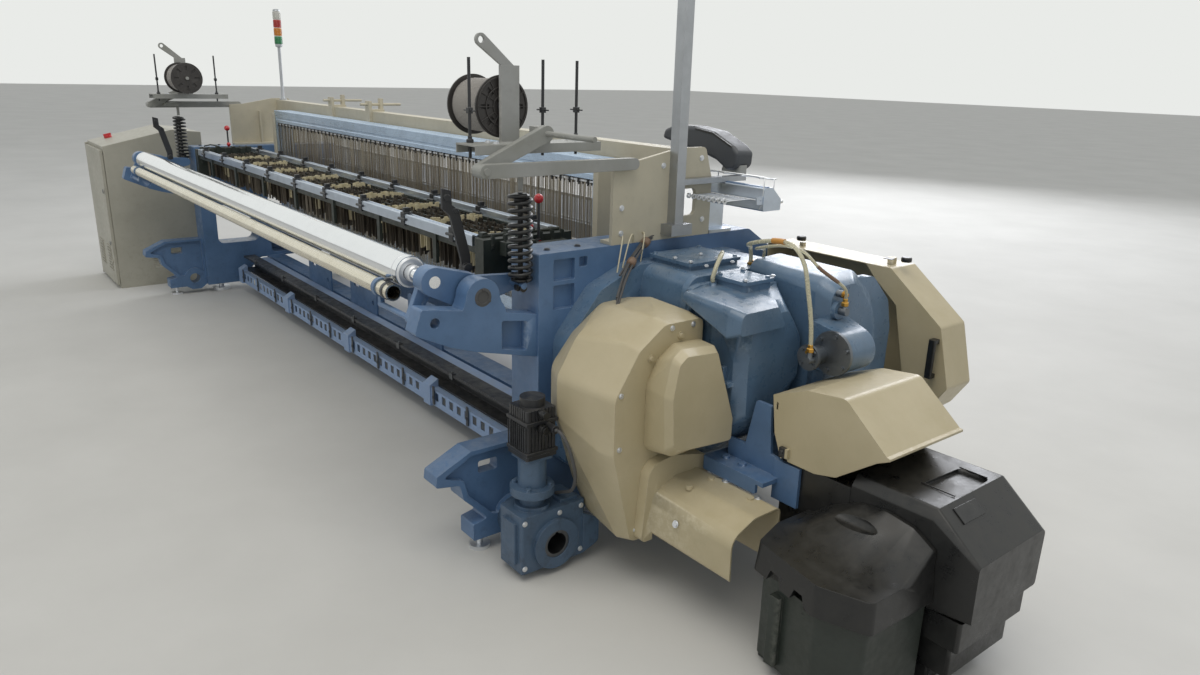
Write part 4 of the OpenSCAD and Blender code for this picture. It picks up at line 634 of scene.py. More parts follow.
class Draft:
    """Mesh of one piece, drawn in millimetres in the loom's frame."""

    def __init__(self) -> None:
        """Start an empty mesh."""
        self.mesh = bmesh.new()

    def box(self, low: Point, high: Point) -> "Draft":
        """Add a block between two corners."""
        made = bmesh.ops.create_cube(self.mesh, size=1.0)["verts"]
        size = [(b - a) * MM for a, b in zip(low, high)]
        middle = Vector([(a + b) / 2 * MM for a, b in zip(low, high)])
        bmesh.ops.scale(self.mesh, vec=size, verts=made)
        bmesh.ops.translate(self.mesh, vec=middle, verts=made)
        return self

    def loft(self, rings: Iterable[Iterable[Point]]) -> "Draft":
        """Skin rings with the same number of points, and close both ends."""
        made = [[self.mesh.verts.new(Vector(p) * MM) for p in ring] for ring in rings]
        faces = [self.mesh.faces.new(made[0]), self.mesh.faces.new(made[-1])]
        for a, b in zip(made, made[1:]):
            for k in range(len(a)):
                j = (k + 1) % len(a)
                faces.append(self.mesh.faces.new((a[k], a[j], b[j], b[k])))
        bmesh.ops.recalc_face_normals(self.mesh, faces=faces)
        return self

    def prism(self, outline: Iterable[Point], axis: Axis, start: float, end: float) -> "Draft":
        """Add a prism over an outline: (y, z) along X, (x, z) along Y or (x, y) along Z."""
        at = axis.value
        return self.loft([(*p[:at], h, *p[at:]) for p in outline] for h in (start, end))

    def lathe(
        self, profile: Iterable[Point], origin: Point, towards: Point, sides: int = 24, closed: bool = False
    ) -> "Draft":
        """Turn a profile round an axis.

        Args:
            profile: points (radius, height), from one end to the other.
            origin: start of the axis.
            towards: direction of the axis.
            sides: number of flats round it.
            closed: true where the profile closes on itself, false where its ends are filled.

        Returns:
            The same draft.
        """
        axis = Vector(towards).normalized()
        turn = Vector((0, 0, 1)).rotation_difference(axis).to_matrix()
        base = Vector(origin)
        rings: list[list[bmesh.types.BMVert]] = []
        for radius, height in profile:
            if radius < 1e-6:
                rings.append([self.mesh.verts.new((base + turn @ Vector((0, 0, height))) * MM)])
                continue
            ring = []
            for i in range(sides):
                a = 2 * math.pi * i / sides
                spot = turn @ Vector((radius * math.cos(a), radius * math.sin(a), height))
                ring.append(self.mesh.verts.new((base + spot) * MM))
            rings.append(ring)
        faces = []
        for a, b in zip(rings, rings[1:] + (rings[:1] if closed else [])):
            for i in range(sides):
                j = (i + 1) % sides
                unique = list(dict.fromkeys((a[i % len(a)], a[j % len(a)], b[j % len(b)], b[i % len(b)])))
                if len(unique) > 2:
                    faces.append(self.mesh.faces.new(unique))
        for end in () if closed else (rings[0], rings[-1]):
            if len(end) > 1:
                faces.append(self.mesh.faces.new(end))
        bmesh.ops.recalc_face_normals(self.mesh, faces=faces)
        return self

    def rod(self, start: Point, end: Point, radius: float, sides: int = 20) -> "Draft":
        """Add a round bar with closed ends."""
        a, b = Vector(start), Vector(end)
        return self.lathe([(radius, 0), (radius, (b - a).length)], a, b - a, sides)

    def tube(self, points: Sequence[Point], radius: float, sides: int = 10) -> "Draft":
        """Add a round bar along smooth points, with closed ends."""
        path = [Vector(p) for p in points]
        side = Vector((0, 0, 1))
        angles = [2 * math.pi * k / sides for k in range(sides)]
        rings = []
        for i, spot in enumerate(path):
            heading = (path[min(i + 1, len(path) - 1)] - path[max(i - 1, 0)]).normalized()
            side = side - heading * side.dot(heading)
            if side.length < 1e-3:
                side = heading.orthogonal()
            side.normalize()
            other = heading.cross(side)
            rings.append([spot + radius * (side * math.cos(a) + other * math.sin(a)) for a in angles])
        return self.loft(rings)

    def mirrored(self) -> "Draft":
        """Add the mirror image of everything so far, at the other end of the loom."""
        copy = bmesh.ops.duplicate(self.mesh, geom=self.mesh.verts[:] + self.mesh.edges[:] + self.mesh.faces[:])
        verts = [g for g in copy["geom"] if isinstance(g, bmesh.types.BMVert)]
        faces = [g for g in copy["geom"] if isinstance(g, bmesh.types.BMFace)]
        bmesh.ops.scale(self.mesh, vec=(-1, 1, 1), verts=verts)
        bmesh.ops.reverse_faces(self.mesh, faces=faces)
        return self

    def object(self, name: str, finish: Finish, bevel_mm: float = 0.0, angle: float = 35.0) -> Object:
        """Turn the draft into an object.

        Args:
            name: name of the piece.
            finish: what it is made of.
            bevel_mm: width that its sharp edges are broken by.
            angle: edges sharper than this stay sharp, in degrees.

        Returns:
            The object, at the origin, with its place in its mesh.
        """
        mesh = bpy.data.meshes.new(name)
        self.mesh.to_mesh(mesh)
        self.mesh.free()
        mesh.shade_smooth()
        mesh.set_sharp_from_angle(angle=math.radians(angle))
        mesh.materials.append(finish.material())
        made = linked(name, mesh)
        if bevel_mm:
            edge = made.modifiers.new("broken edges", "BEVEL")
            edge.width = bevel_mm * MM
            edge.segments = 2
            edge.limit_method = "ANGLE"
            edge.angle_limit = math.radians(40)
            edge.harden_normals = True
        return made

    def settle(
        self, name: str, finish: Finish, bevel_mm: float = 0.0, angle: float = 35.0, body: str = "frame",
        replaced: str = "",
    ) -> None:
        """Turn the draft into an object that rides on a body.

        Args:
            name: name of the piece.
            finish: what it is made of.
            bevel_mm: width that its sharp edges are broken by.
            angle: edges sharper than this stay sharp, in degrees.
            body: body that it moves with.
            replaced: node of the frame that it stands for, if any.
        """
        settle(self.object(name, finish, bevel_mm, angle), body, finish.slot, *filter(None, [replaced]))


class Repeater:
    """Geometry Nodes tree that copies a mesh to places, with named inputs for its sizes."""

    SOCKETS: dict[str, tuple[str, Any]] = {}

    def __init__(self, name: str) -> None:
        """Make the tree with its inputs and output.

        Args:
            name: name of the tree.
        """
        self.tree = bpy.data.node_groups.new(name, "GeometryNodeTree")
        face = self.tree.interface
        face.new_socket("Geometry", in_out="INPUT", socket_type="NodeSocketGeometry")
        for label, (kind, _) in self.SOCKETS.items():
            face.new_socket(label, in_out="INPUT", socket_type=kind)
        face.new_socket("Material", in_out="INPUT", socket_type="NodeSocketMaterial")
        face.new_socket("Geometry", in_out="OUTPUT", socket_type="NodeSocketGeometry")
        self.source = add_node(self.tree, "NodeGroupInput").outputs
        spots, shape, turn = self.layout()
        placed = add_node(
            self.tree, "GeometryNodeInstanceOnPoints", None, {"Points": spots, "Instance": shape, "Rotation": turn}
        ).outputs[0]
        real = add_node(self.tree, "GeometryNodeRealizeInstances", None, {0: placed}).outputs[0]
        dressed = add_node(self.tree, "GeometryNodeSetMaterial", None, {0: real, "Material": self.source["Material"]})
        sink = self.tree.nodes.new("NodeGroupOutput")
        self.tree.links.new(dressed.outputs[0], sink.inputs[0])

    def layout(self) -> tuple[Socket, Socket, Socket]:
        """Return the points of the copies, the shape that is copied and the turn of each."""
        raise NotImplementedError

    def repeat(self, master: Object, finish: Finish, **values: Any) -> Object:
        """Run the tree on a mesh and return the copies as one plain mesh.

        Args:
            master: object that the tree works on; it is used up.
            finish: what the copies are made of.
            values: inputs of the tree by name, with _ for a space.

        Returns:
            A new object with the master's name.
        """
        live = master.modifiers.new("repeat", "NODES")
        live.node_group = self.tree
        for item in self.tree.interface.items_tree:
            if item.item_type != "SOCKET" or item.in_out != "INPUT" or item.name == "Geometry":
                continue
            if item.name == "Material":
                live[item.identifier] = finish.material()
            else:
                live[item.identifier] = values.get(item.name.replace(" ", "_"), self.SOCKETS[item.name][1])
        bpy.context.view_layer.update()
        seen = master.evaluated_get(bpy.context.evaluated_depsgraph_get())
        mesh = bpy.data.meshes.new_from_object(seen)
        name = master.name
        master.modifiers.clear()
        bpy.data.objects.remove(master)
        mesh.name = name
        return linked(name, mesh)


class Bank(Repeater):
    """Copies of a strip in straight lines, each a little out of line and turned by chance."""

    SOCKETS = {
        "Count": ("NodeSocketInt", 1),
        "Start": ("NodeSocketVector", (0.0, 0.0, 0.0)),
        "Step": ("NodeSocketVector", (0.0, 0.0, 0.0)),
        "Lines": ("NodeSocketInt", 1),
        "Line Step": ("NodeSocketVector", (0.0, 0.0, 0.0)),
        "Slack": ("NodeSocketVector", (0.0, 0.0, 0.0)),
        "Turn": ("NodeSocketVector", (0.0, 0.0, 0.0)),
        "Seed": ("NodeSocketInt", 7),
    }

    def layout(self) -> tuple[Socket, Socket, Socket]:
        """Return the points of the copies, the shape that is copied and the turn of each."""
        s = self.source
        tree = self.tree
        along = {"Count": s["Count"], "Start Location": s["Start"], "Offset": s["Step"]}
        line = add_node(tree, "GeometryNodeMeshLine", None, along).outputs[0]
        across = {"Count": s["Lines"], "Offset": s["Line Step"]}
        starts = add_node(tree, "GeometryNodeMeshLine", None, across).outputs[0]
        lines = add_node(tree, "GeometryNodeInstanceOnPoints", None, {"Points": starts, "Instance": line}).outputs[0]
        grid = add_node(tree, "GeometryNodeRealizeInstances", None, {0: lines}).outputs[0]
        chance = []
        for limit, shift in (("Slack", 0.0), ("Turn", 100.0)):
            back = {"operation": "SCALE", "Scale": -1.0}
            least = add_node(tree, "ShaderNodeVectorMath", back, {0: s[limit]}).outputs[0]
            seed = add_node(tree, "ShaderNodeMath", {"operation": "ADD", 1: shift}, {0: s["Seed"]}).outputs[0]
            between = {0: least, 1: s[limit], "Seed": seed}
            chance.append(add_node(tree, "FunctionNodeRandomValue", {"data_type": "FLOAT_VECTOR"}, between).outputs[0])
        moved = add_node(tree, "GeometryNodeSetPosition", None, {"Geometry": grid, "Offset": chance[0]}).outputs[0]
        return moved, s["Geometry"], chance[1]

    def lay(
        self, draft: Draft, name: str, finish: Finish, bevel_mm: float = 0.0, angle: float = 35.0, body: str = "frame",
        **values: Any,
    ) -> None:
        """Repeat a draft and make the copies ride on a body as one piece.

        Args:
            draft: shape of one copy.
            name: name of the piece.
            finish: what the copies are made of.
            bevel_mm: width that their sharp edges are broken by.
            angle: edges sharper than this stay sharp, in degrees.
            body: body that they move with.
            values: inputs of the tree by name, with _ for a space.
        """
        master = draft.object(name, finish, bevel_mm, angle)
        settle(self.repeat(master, finish, **values), body, finish.slot)


class Screws(Repeater):
    """Cap screws on the points of a mesh: a round head on a flange, with the hexagon of its key in it."""

    SOCKETS = {
        "Radius": ("NodeSocketFloat", 0.008),
        "Height": ("NodeSocketFloat", 0.006),
        "Tilt": ("NodeSocketVector", (0.0, 0.0, 0.0)),
    }

    def layout(self) -> tuple[Socket, Socket, Socket]:
        """Return the points of the copies, the shape that is copied and the turn of each."""
        s = self.source
        parts = []
        for sides, wide, tall in ((20, 1.35, 0.4), (20, 1.0, 1.6), (6, 0.55, 1.9)):
            size = {}
            for label, limit, times in (("Radius", "Radius", wide), ("Depth", "Height", tall)):
                factor = {"operation": "MULTIPLY", 1: times}
                size[label] = add_node(self.tree, "ShaderNodeMath", factor, {0: s[limit]}).outputs[0]
            parts.append(add_node(self.tree, "GeometryNodeMeshCylinder", {"Vertices": sides}, size).outputs[0])
        whole = self.tree.nodes.new("GeometryNodeJoinGeometry")
        for part in parts:
            self.tree.links.new(part, whole.inputs[0])
        return s["Geometry"], whole.outputs[0], s["Tilt"]

    def fasten(self, name: str, finish: Finish, spots: Sequence[Point], out: Point, radius_mm: float) -> None:
        """Put screws at spots on a face of the frame, as one piece.

        Args:
            name: name of the piece.
            finish: what the screws are made of.
            spots: middle of each head, in millimetres.
            out: direction that the heads point.
            radius_mm: radius of a head.
        """
        mesh = bpy.data.meshes.new(name)
        mesh.from_pydata([tuple(c * MM for c in p) for p in spots], [], [])
        tilt = Vector(out).to_track_quat("Z", "Y").to_euler()
        size = {"Radius": radius_mm * MM, "Height": radius_mm * 0.75 * MM}
        made = self.repeat(linked(name, mesh), finish, Tilt=tuple(tilt), **size)
        made.data.set_sharp_from_angle(angle=math.radians(35))
        settle(made, "frame", finish.slot)


@dataclass
class Harness:
    """Six heald frames: aluminium rails, end posts and a close bank of flat healds in each.

    Attributes:
        count: number of frames.
        rail_mm: height of a rail.
        post_mm: width of an end post.
        heald_pitch_mm: spacing of the healds, wider than the real one so that each shows.
        clip_pitch_mm: spacing of the black rider clips below the top rail.
        rod_half_mm: half thickness of the rider rod.
    """

    count: int = 6
    rail_mm: float = 85.0
    post_mm: float = 40.0
    heald_pitch_mm: float = 12.0
    clip_pitch_mm: float = 63.0
    rod_half_mm: float = 1.0

    def build(self, bank: Bank) -> None:
        """Build every frame with its healds and clips."""
        for number in range(1, self.count + 1):
            self.frame(number)
            self.healds(number, bank)
            self.clips(number, bank)

    def frame(self, number: int) -> None:
        """Build the rails and posts of one frame."""
        node = f"heald_frame_{number}"
        low, high = corners(node)
        y0, y1 = low.y, high.y
        draft = Draft()
        for z0 in (low.z, high.z - self.rail_mm):
            z1 = z0 + self.rail_mm
            groove = [(y0, z0 + 2), (y0 + 2, z0), (y1 - 2, z0), (y1, z0 + 2), (y1, z0 + 22), (y1 - 2.5, z0 + 25)]
            groove += [(y1 - 2.5, z0 + 34), (y1, z0 + 37), (y1, z1 - 2), (y1 - 2, z1), (y0 + 2, z1), (y0, z1 - 2)]
            groove += [(y0, z0 + 37), (y0 + 2.5, z0 + 34), (y0 + 2.5, z0 + 25), (y0, z0 + 22)]
            draft.prism(groove, Axis.X, low.x + 2, high.x - 2)
        for x in (low.x, high.x - self.post_mm):
            corner = [(x, low.z), (x + self.post_mm, low.z), (x + self.post_mm, high.z), (x, high.z)]
            draft.prism(corner, Axis.Y, y0 + 0.5, y1 - 0.5)
        draft.settle(f"{node}_rails", HEALD_RAIL, 0.6, body=node, replaced=node)

    def healds(self, number: int, bank: Bank) -> None:
        """Hang the healds of one frame between its rails."""
        node = f"heald_frame_{number}"
        low, high = corners(node)
        bottom, top = low.z + self.rail_mm, high.z - self.rail_mm
        middle, margin = (bottom + top) / 2, 20
        span = high.x - low.x - 2 * self.post_mm - 2 * margin
        strip = Draft().box((-0.9, -0.35, bottom), (0.9, 0.35, top))
        strip.box((-1.9, -0.6, middle - 9), (1.9, 0.6, middle + 9))
        bank.lay(
            strip, f"healds_{number}", HEALD_STEEL, body=node, Count=int(span / self.heald_pitch_mm), Seed=number,
            Start=((low.x + self.post_mm + margin) * MM, centre(node)[1] * MM, 0.0),
            Step=(self.heald_pitch_mm * MM, 0.0, 0.0), Slack=(0.0035, 0.0035, 0.0), Turn=(0.0, 0.004, 0.5)
        )

    def clips(self, number: int, bank: Bank) -> None:
        """Fix the black clips that carry the rider rod along the top rail."""
        node = f"heald_frame_{number}"
        low, high = corners(node)
        y, z, half, margin = centre(node)[1], high.z - self.rail_mm, self.rod_half_mm, 30
        rod = Draft().box((low.x + self.post_mm, y - half, z - 12), (high.x - self.post_mm, y + half, z - 4))
        rod.settle(f"rider_rod_{number}", STEEL, body=node)
        span = high.x - low.x - 2 * self.post_mm - 2 * margin
        bank.lay(
            Draft().box((-5, -4.5, z - 17), (5, 4.5, z + 9)).box((-2, -3, z - 26), (2, 3, z - 17)),
            f"rider_clips_{number}", BLACK_ABS, body=node, Count=int(span / self.clip_pitch_mm) + 1,
            Start=((low.x + self.post_mm + margin) * MM, y * MM, 0.0), Step=(self.clip_pitch_mm * MM, 0.0, 0.0)
        )


@dataclass
class StopMotion:
    """Warp stop motion: rows of drop wires astride the contact bars, between two long rails.

    Attributes:
        rows: number of contact bars.
        pitch_mm: spacing of the drop wires, wider than the real one so that each shows.
        cream_pitch_mm: spacing of the cream separators.
        cream_share: part of each span taken by cream separators.
        spans: number of groups along the width.
        clamps: number of clamps on a rail.
        clamp_end_mm: how far the last clamp stays from the rail's end.
        lever_y: y of the red-knobbed levers.
    """

    rows: int = 6
    pitch_mm: float = 8.0
    cream_pitch_mm: float = 11.0
    cream_share: float = 0.17
    spans: int = 9
    clamps: int = 9
    clamp_end_mm: float = 150.0
    lever_y: float = -300.0

    def build(self, bank: Bank) -> None:
        """Build the drop wires, the rail extrusions, their clamps and the end castings."""
        self.drop_wires(bank)
        self.rails(bank)
        self.end_castings()
        self.knobs()

    def knobs(self) -> None:
        """Sleeve the red-knobbed levers in black and stand the small red knob beside each."""
        ball = [(0, 0), (7, 2), (12, 7), (14, 14), (12, 21), (7, 26), (0, 28)]
        for side, sign in (("near", 1), ("far", -1)):
            x = 1952 * sign
            sleeve = Draft().rod((x, self.lever_y, 1046), (x, self.lever_y, 1181), 5.4, 14)
            hub = [(12.5, 0), (17.7, 0), (17.7, 21), (12.5, 21)]
            sleeve.lathe(hub, (x - 10.5, self.lever_y, 1030), (1, 0, 0), 32, closed=True)
            sleeve.settle(f"{side}_lever_sleeve", BLACK_LACQUER, 0, 35, body=f"stop_lever_{side}")
            knob = Draft().rod((sign * 1910, -310, 1056), (sign * 1910, -310, 1078), 4, 12)
            knob.lathe(ball, (sign * 1910, -310, 1074), (0, 0, 1), 24)
            knob.settle(f"{side}_small_knob", RED_KNOB, 0, 60)

    def drop_wires(self, bank: Bank) -> None:
        """Hang dark drop wires in long groups with cream separators between them."""
        low, high = corners("droppers")
        dark_mm = (high.x - low.x) / self.spans * (1 - self.cream_share)
        cream_mm = (high.x - low.x) / self.spans - dark_mm
        dark = Draft().box((-0.7, -5.2, low.z), (0.7, 5.2, high.z)).object("drop_wires", DROP_STEEL)
        wires = self.groups(
            bank, dark, DROP_STEEL, 0, 0, Count=int(dark_mm / self.pitch_mm), Step=(self.pitch_mm * MM, 0.0, 0.0),
            Slack=(0.0025, 0.0015, 0.006), Turn=(0.03, 0.03, 0.25)
        )
        settle(joined("drop_wires", wires), "frame", DROP_STEEL.slot, "droppers")
        cream = Draft().box((-2.2, -8.5, low.z + 40), (2.2, 8.5, high.z + 9)).object("cream_strip", CREAM_STRIP)
        strips = self.groups(
            bank, cream, CREAM_STRIP, dark_mm + 4, 40, Count=int(cream_mm / self.cream_pitch_mm),
            Step=(self.cream_pitch_mm * MM, 0.0, 0.0), Slack=(0.001, 0.002, 0.006), Turn=(0.02, 0.02, 0.1)
        )
        settle(joined("separator_strips", strips), "frame", CREAM_STRIP.slot)

    def groups(
        self, bank: Bank, strip: Object, finish: Finish, shift_mm: float, seed: int, **values: Any
    ) -> list[Object]:
        """Repeat a strip over the contact bars, in one group for each span.

        Args:
            bank: tree that makes the copies.
            strip: the master; it is used up.
            finish: what it is made of.
            shift_mm: where a group starts in its span.
            seed: seed of the first group; the others count on from it.
            values: inputs of the tree that all groups share.

        Returns:
            One object for each group.
        """
        low, high = corners("droppers")
        y0, y1 = low.y + 5.5, high.y - 5.5
        span = (high.x - low.x) / self.spans
        made = []
        for group in range(self.spans):
            master = linked(strip.name, strip.data.copy())
            made.append(
                bank.repeat(
                    master, finish, Start=((low.x + group * span + shift_mm) * MM, y0 * MM, 0.0), Lines=self.rows,
                    Line_Step=(0.0, (y1 - y0) / (self.rows - 1) * MM, 0.0), Seed=seed + group, **values
                )
            )
        bpy.data.objects.remove(strip)
        return made

    def rails(self, bank: Bank) -> None:
        """Lay the bright extrusions along both rails, with black clamps on them."""
        low, high = corners("stop_motion_frame")
        end = corners("heald_frame_1")[1].x - 40
        draft = Draft()
        for y0, y1 in ((low.y, low.y + 34), (high.y - 34, high.y)):
            z1 = high.z + 6
            face = [(y0, z1 - 40), (y1, z1 - 40), (y1, z1 - 3), (y1 - 3, z1), (y1 - 11, z1), (y1 - 12, z1 - 4)]
            face += [(y0 + 12, z1 - 4), (y0 + 11, z1), (y0 + 3, z1), (y0, z1 - 3)]
            draft.prism(face, Axis.X, -end, end)
        draft.settle("rail_extrusions", ALUMINIUM)
        first = self.clamp_end_mm - end
        for name, y in (("back", low.y + 17), ("front", high.y - 17)):
            clamp = Draft().box((-17, y - 20, high.z - 42), (17, y + 20, high.z + 12))
            clamp.box((-9, y - 14, high.z + 12), (9, y + 12, high.z + 30))
            clamp.rod((-30, y - 22, high.z - 16), (30, y - 22, high.z - 16), 6, 10)
            bank.lay(
                clamp, f"{name}_rail_clamps", BLACK_LACQUER, 1.5, Count=self.clamps, Start=(first * MM, 0.0, 0.0),
                Step=(-2 * first / (self.clamps - 1) * MM, 0.0, 0.0), Slack=(0.02, 0.0, 0.0)
            )

    def end_castings(self) -> None:
        """Stand the dark lever blocks at both ends of the contact bars."""
        z = corners("stop_motion_frame")[1].z
        x0 = corners("heald_frame_1")[1].x - 30
        draft = Draft()
        for y, rise in ((-492, 18), (-440, 4), (-388, 22), (-336, 6), (-284, 16), (-232, 2), (-186, 12)):
            top = z + rise
            block = [(y - 16, 968), (y + 16, 968), (y + 16, top - 14), (y + 4, top), (y - 16, top)]
            draft.prism(block, Axis.X, x0, x0 + 26)
            draft.rod((x0 + 26, y, z - 26), (x0 + 74, y, z - 26), 7, 12)
            tab = [(y - 7, z - 40), (y + 7, z - 40), (y + 12, z + 8), (y - 2, z + 14)]
            draft.prism(tab, Axis.X, x0 + 62, x0 + 72)
        draft.box((x0 - 4, -515, 990), (x0 + 6, -160, 1012))
        draft.box((x0 + 84, -470, 1004), (x0 + 128, -340, 1054))
        draft.box((x0 + 92, -330, 1004), (x0 + 120, -190, 1040))
        draft.rod((x0 + 20, -505, z + 4), (x0 + 20, -165, z + 4), 8, 14)
        draft.tube([(x0 + 100, -455, 1054), (x0 + 100, -458, 1076), (x0 + 92, -420, 1084), (x0 + 70, -380, 1078)], 5, 8)
        draft.mirrored()
        draft.settle("contact_bar_ends", DARK_CASTING, 1.2)


@dataclass
class Backrest:
    """Whip roller, deflector tube and the rocker arms that carry them on springs.

    Attributes:
        turns: active turns of a tension spring.
        wire_mm: radius of its wire.
        wire_steps: straight stretches in one turn.
        roller_end_x: x of the roller's end ring.
        pivot: y and z of the rocker pivots.
    """

    turns: int = 12
    wire_mm: float = 6.5
    wire_steps: int = 22
    roller_end_x: float = 1990.0
    pivot: tuple[float, float] = (-710.0, 940.0)

    def build(self) -> None:
        """Build the springs, the roller ends, the pivot caps and the black release levers."""
        self.springs()
        self.roller_ends()
        self.pivots()
        self.release_levers()

    def springs(self) -> None:
        """Wind the black tension springs with their end cups and eyes."""
        low, high = corners("tension_springs")
        radius = (high.y - low.y) / 2 - self.wire_mm
        x, y = high.x - radius - self.wire_mm, centre("tension_springs")[1]
        z0, z1 = low.z + 42, high.z - 12
        steps = self.turns * self.wire_steps
        coil = []
        for i in range(steps + 1):
            a = 2 * math.pi * self.turns * i / steps
            coil.append((x + radius * math.cos(a), y + radius * math.sin(a), z0 + (z1 - z0) * i / steps))
        draft = Draft().tube(coil, self.wire_mm, 10)
        for z, up in ((z0 - 8, -1), (z1 + 2, 1)):
            cup = [(0, 0), (22, 0), (32, -5 * up), (32, -11 * up), (22, -16 * up), (22, -30 * up), (0, -30 * up)]
            draft.lathe(cup, (x, y, z), (0, 0, 1), 28)
        draft.rod((x, y, z0 - 20), (x, y, z1 + 6), 9, 16)
        eye = [(y - 17, low.z + 4), (y + 17, low.z + 4), (y + 20, low.z + 24), (y - 20, low.z + 24)]
        draft.prism(eye, Axis.X, x - 9, x + 9)
        draft.rod((x - 22, y, low.z + 14), (x + 22, y, low.z + 14), 13, 18)
        draft.mirrored()
        draft.settle("wound_springs", SPRING_PAINT, 0, 40, body="backrest", replaced="tension_springs")

    def roller_ends(self) -> None:
        """Close the roller with turned end rings, and the tube with a clamp at its drive end."""
        _, y, z = centre("backrest_roller")
        x = self.roller_end_x
        draft = Draft()
        ring = [(30, 0), (30, 6), (46, 6), (52, 2), (54.2, -4), (54.2, -30), (55.4, -31), (55.4, -36), (30, -36)]
        draft.lathe(ring, (x, y, z), (1, 0, 0), 48, closed=True)
        collar = [(18, 0), (27, 0), (29, 3), (29, 26), (24, 30), (18, 30)]
        draft.lathe(collar, (x + 8, y, z), (1, 0, 0), 36, closed=True)
        draft.mirrored()
        draft.settle("roller_end_rings", STEEL, 0, 30, body="backrest_roller")
        _, y, z = centre("deflector_tube")
        end = corners("deflector_tube")[1].x
        clamp = Draft()
        clamp.lathe([(28.2, 0), (30.5, 1), (30.5, 13), (28.2, 14)], (end - 46, y, z), (1, 0, 0), 36, closed=True)
        clamp.lathe([(24, 0), (28.2, 0), (28.2, 4), (24, 4)], (end - 4.5, y, z), (1, 0, 0), 36, closed=True)
        clamp.box((end - 45, y - 7, z + 28), (end - 34, y + 7, z + 44))
        clamp.rod((end - 39, y - 14, z + 38), (end - 39, y + 14, z + 38), 4, 12)
        clamp.settle("deflector_clamp", DARK_STEEL, 0, 30, body="deflector_tube")

    def pivots(self) -> None:
        """Cap the rocker pivots with black discs and three screws each."""
        x, (y, z) = corners("backrest_arms")[1].x, self.pivot
        draft = Draft()
        disc = [(0, 0), (30, 0), (34, -3), (34, -6), (22, -8), (20, -4), (0, -4)]
        draft.lathe([(r, -h) for r, h in disc], (x - 0.5, y, z), (1, 0, 0), 40)
        for i in range(3):
            a = math.radians(90 + 120 * i)
            cy, cz = y + 27 * math.cos(a), z + 27 * math.sin(a)
            draft.lathe([(0, 0), (4.5, 0), (4.5, 5), (3, 6), (0, 6)], (x + 5, cy, cz), (1, 0, 0), 10)
        draft.mirrored()
        draft.settle("pivot_caps", BLACK_RUBBER, 0, 30, body="backrest")

    def release_levers(self) -> None:
        """Stand the bent black lever beside each roller arm."""
        draft = Draft()
        path = [(-752, 1272), (-718, 1262), (-716, 1216), (-690, 1196), (-650, 1040), (-650, 985)]
        path += [(-682, 985), (-686, 1030), (-724, 1180), (-752, 1206)]
        draft.prism(path, Axis.X, 2046, 2058)
        draft.rod((2036, -668, 1000), (2074, -668, 1000), 16, 18)
        draft.rod((2040, -735, 1240), (2064, -735, 1240), 12, 16)
        draft.rod((2040, -704, 1196), (2064, -704, 1196), 9, 16)
        draft.mirrored()
        draft.settle("release_levers", BLACK_LACQUER, 1.0)


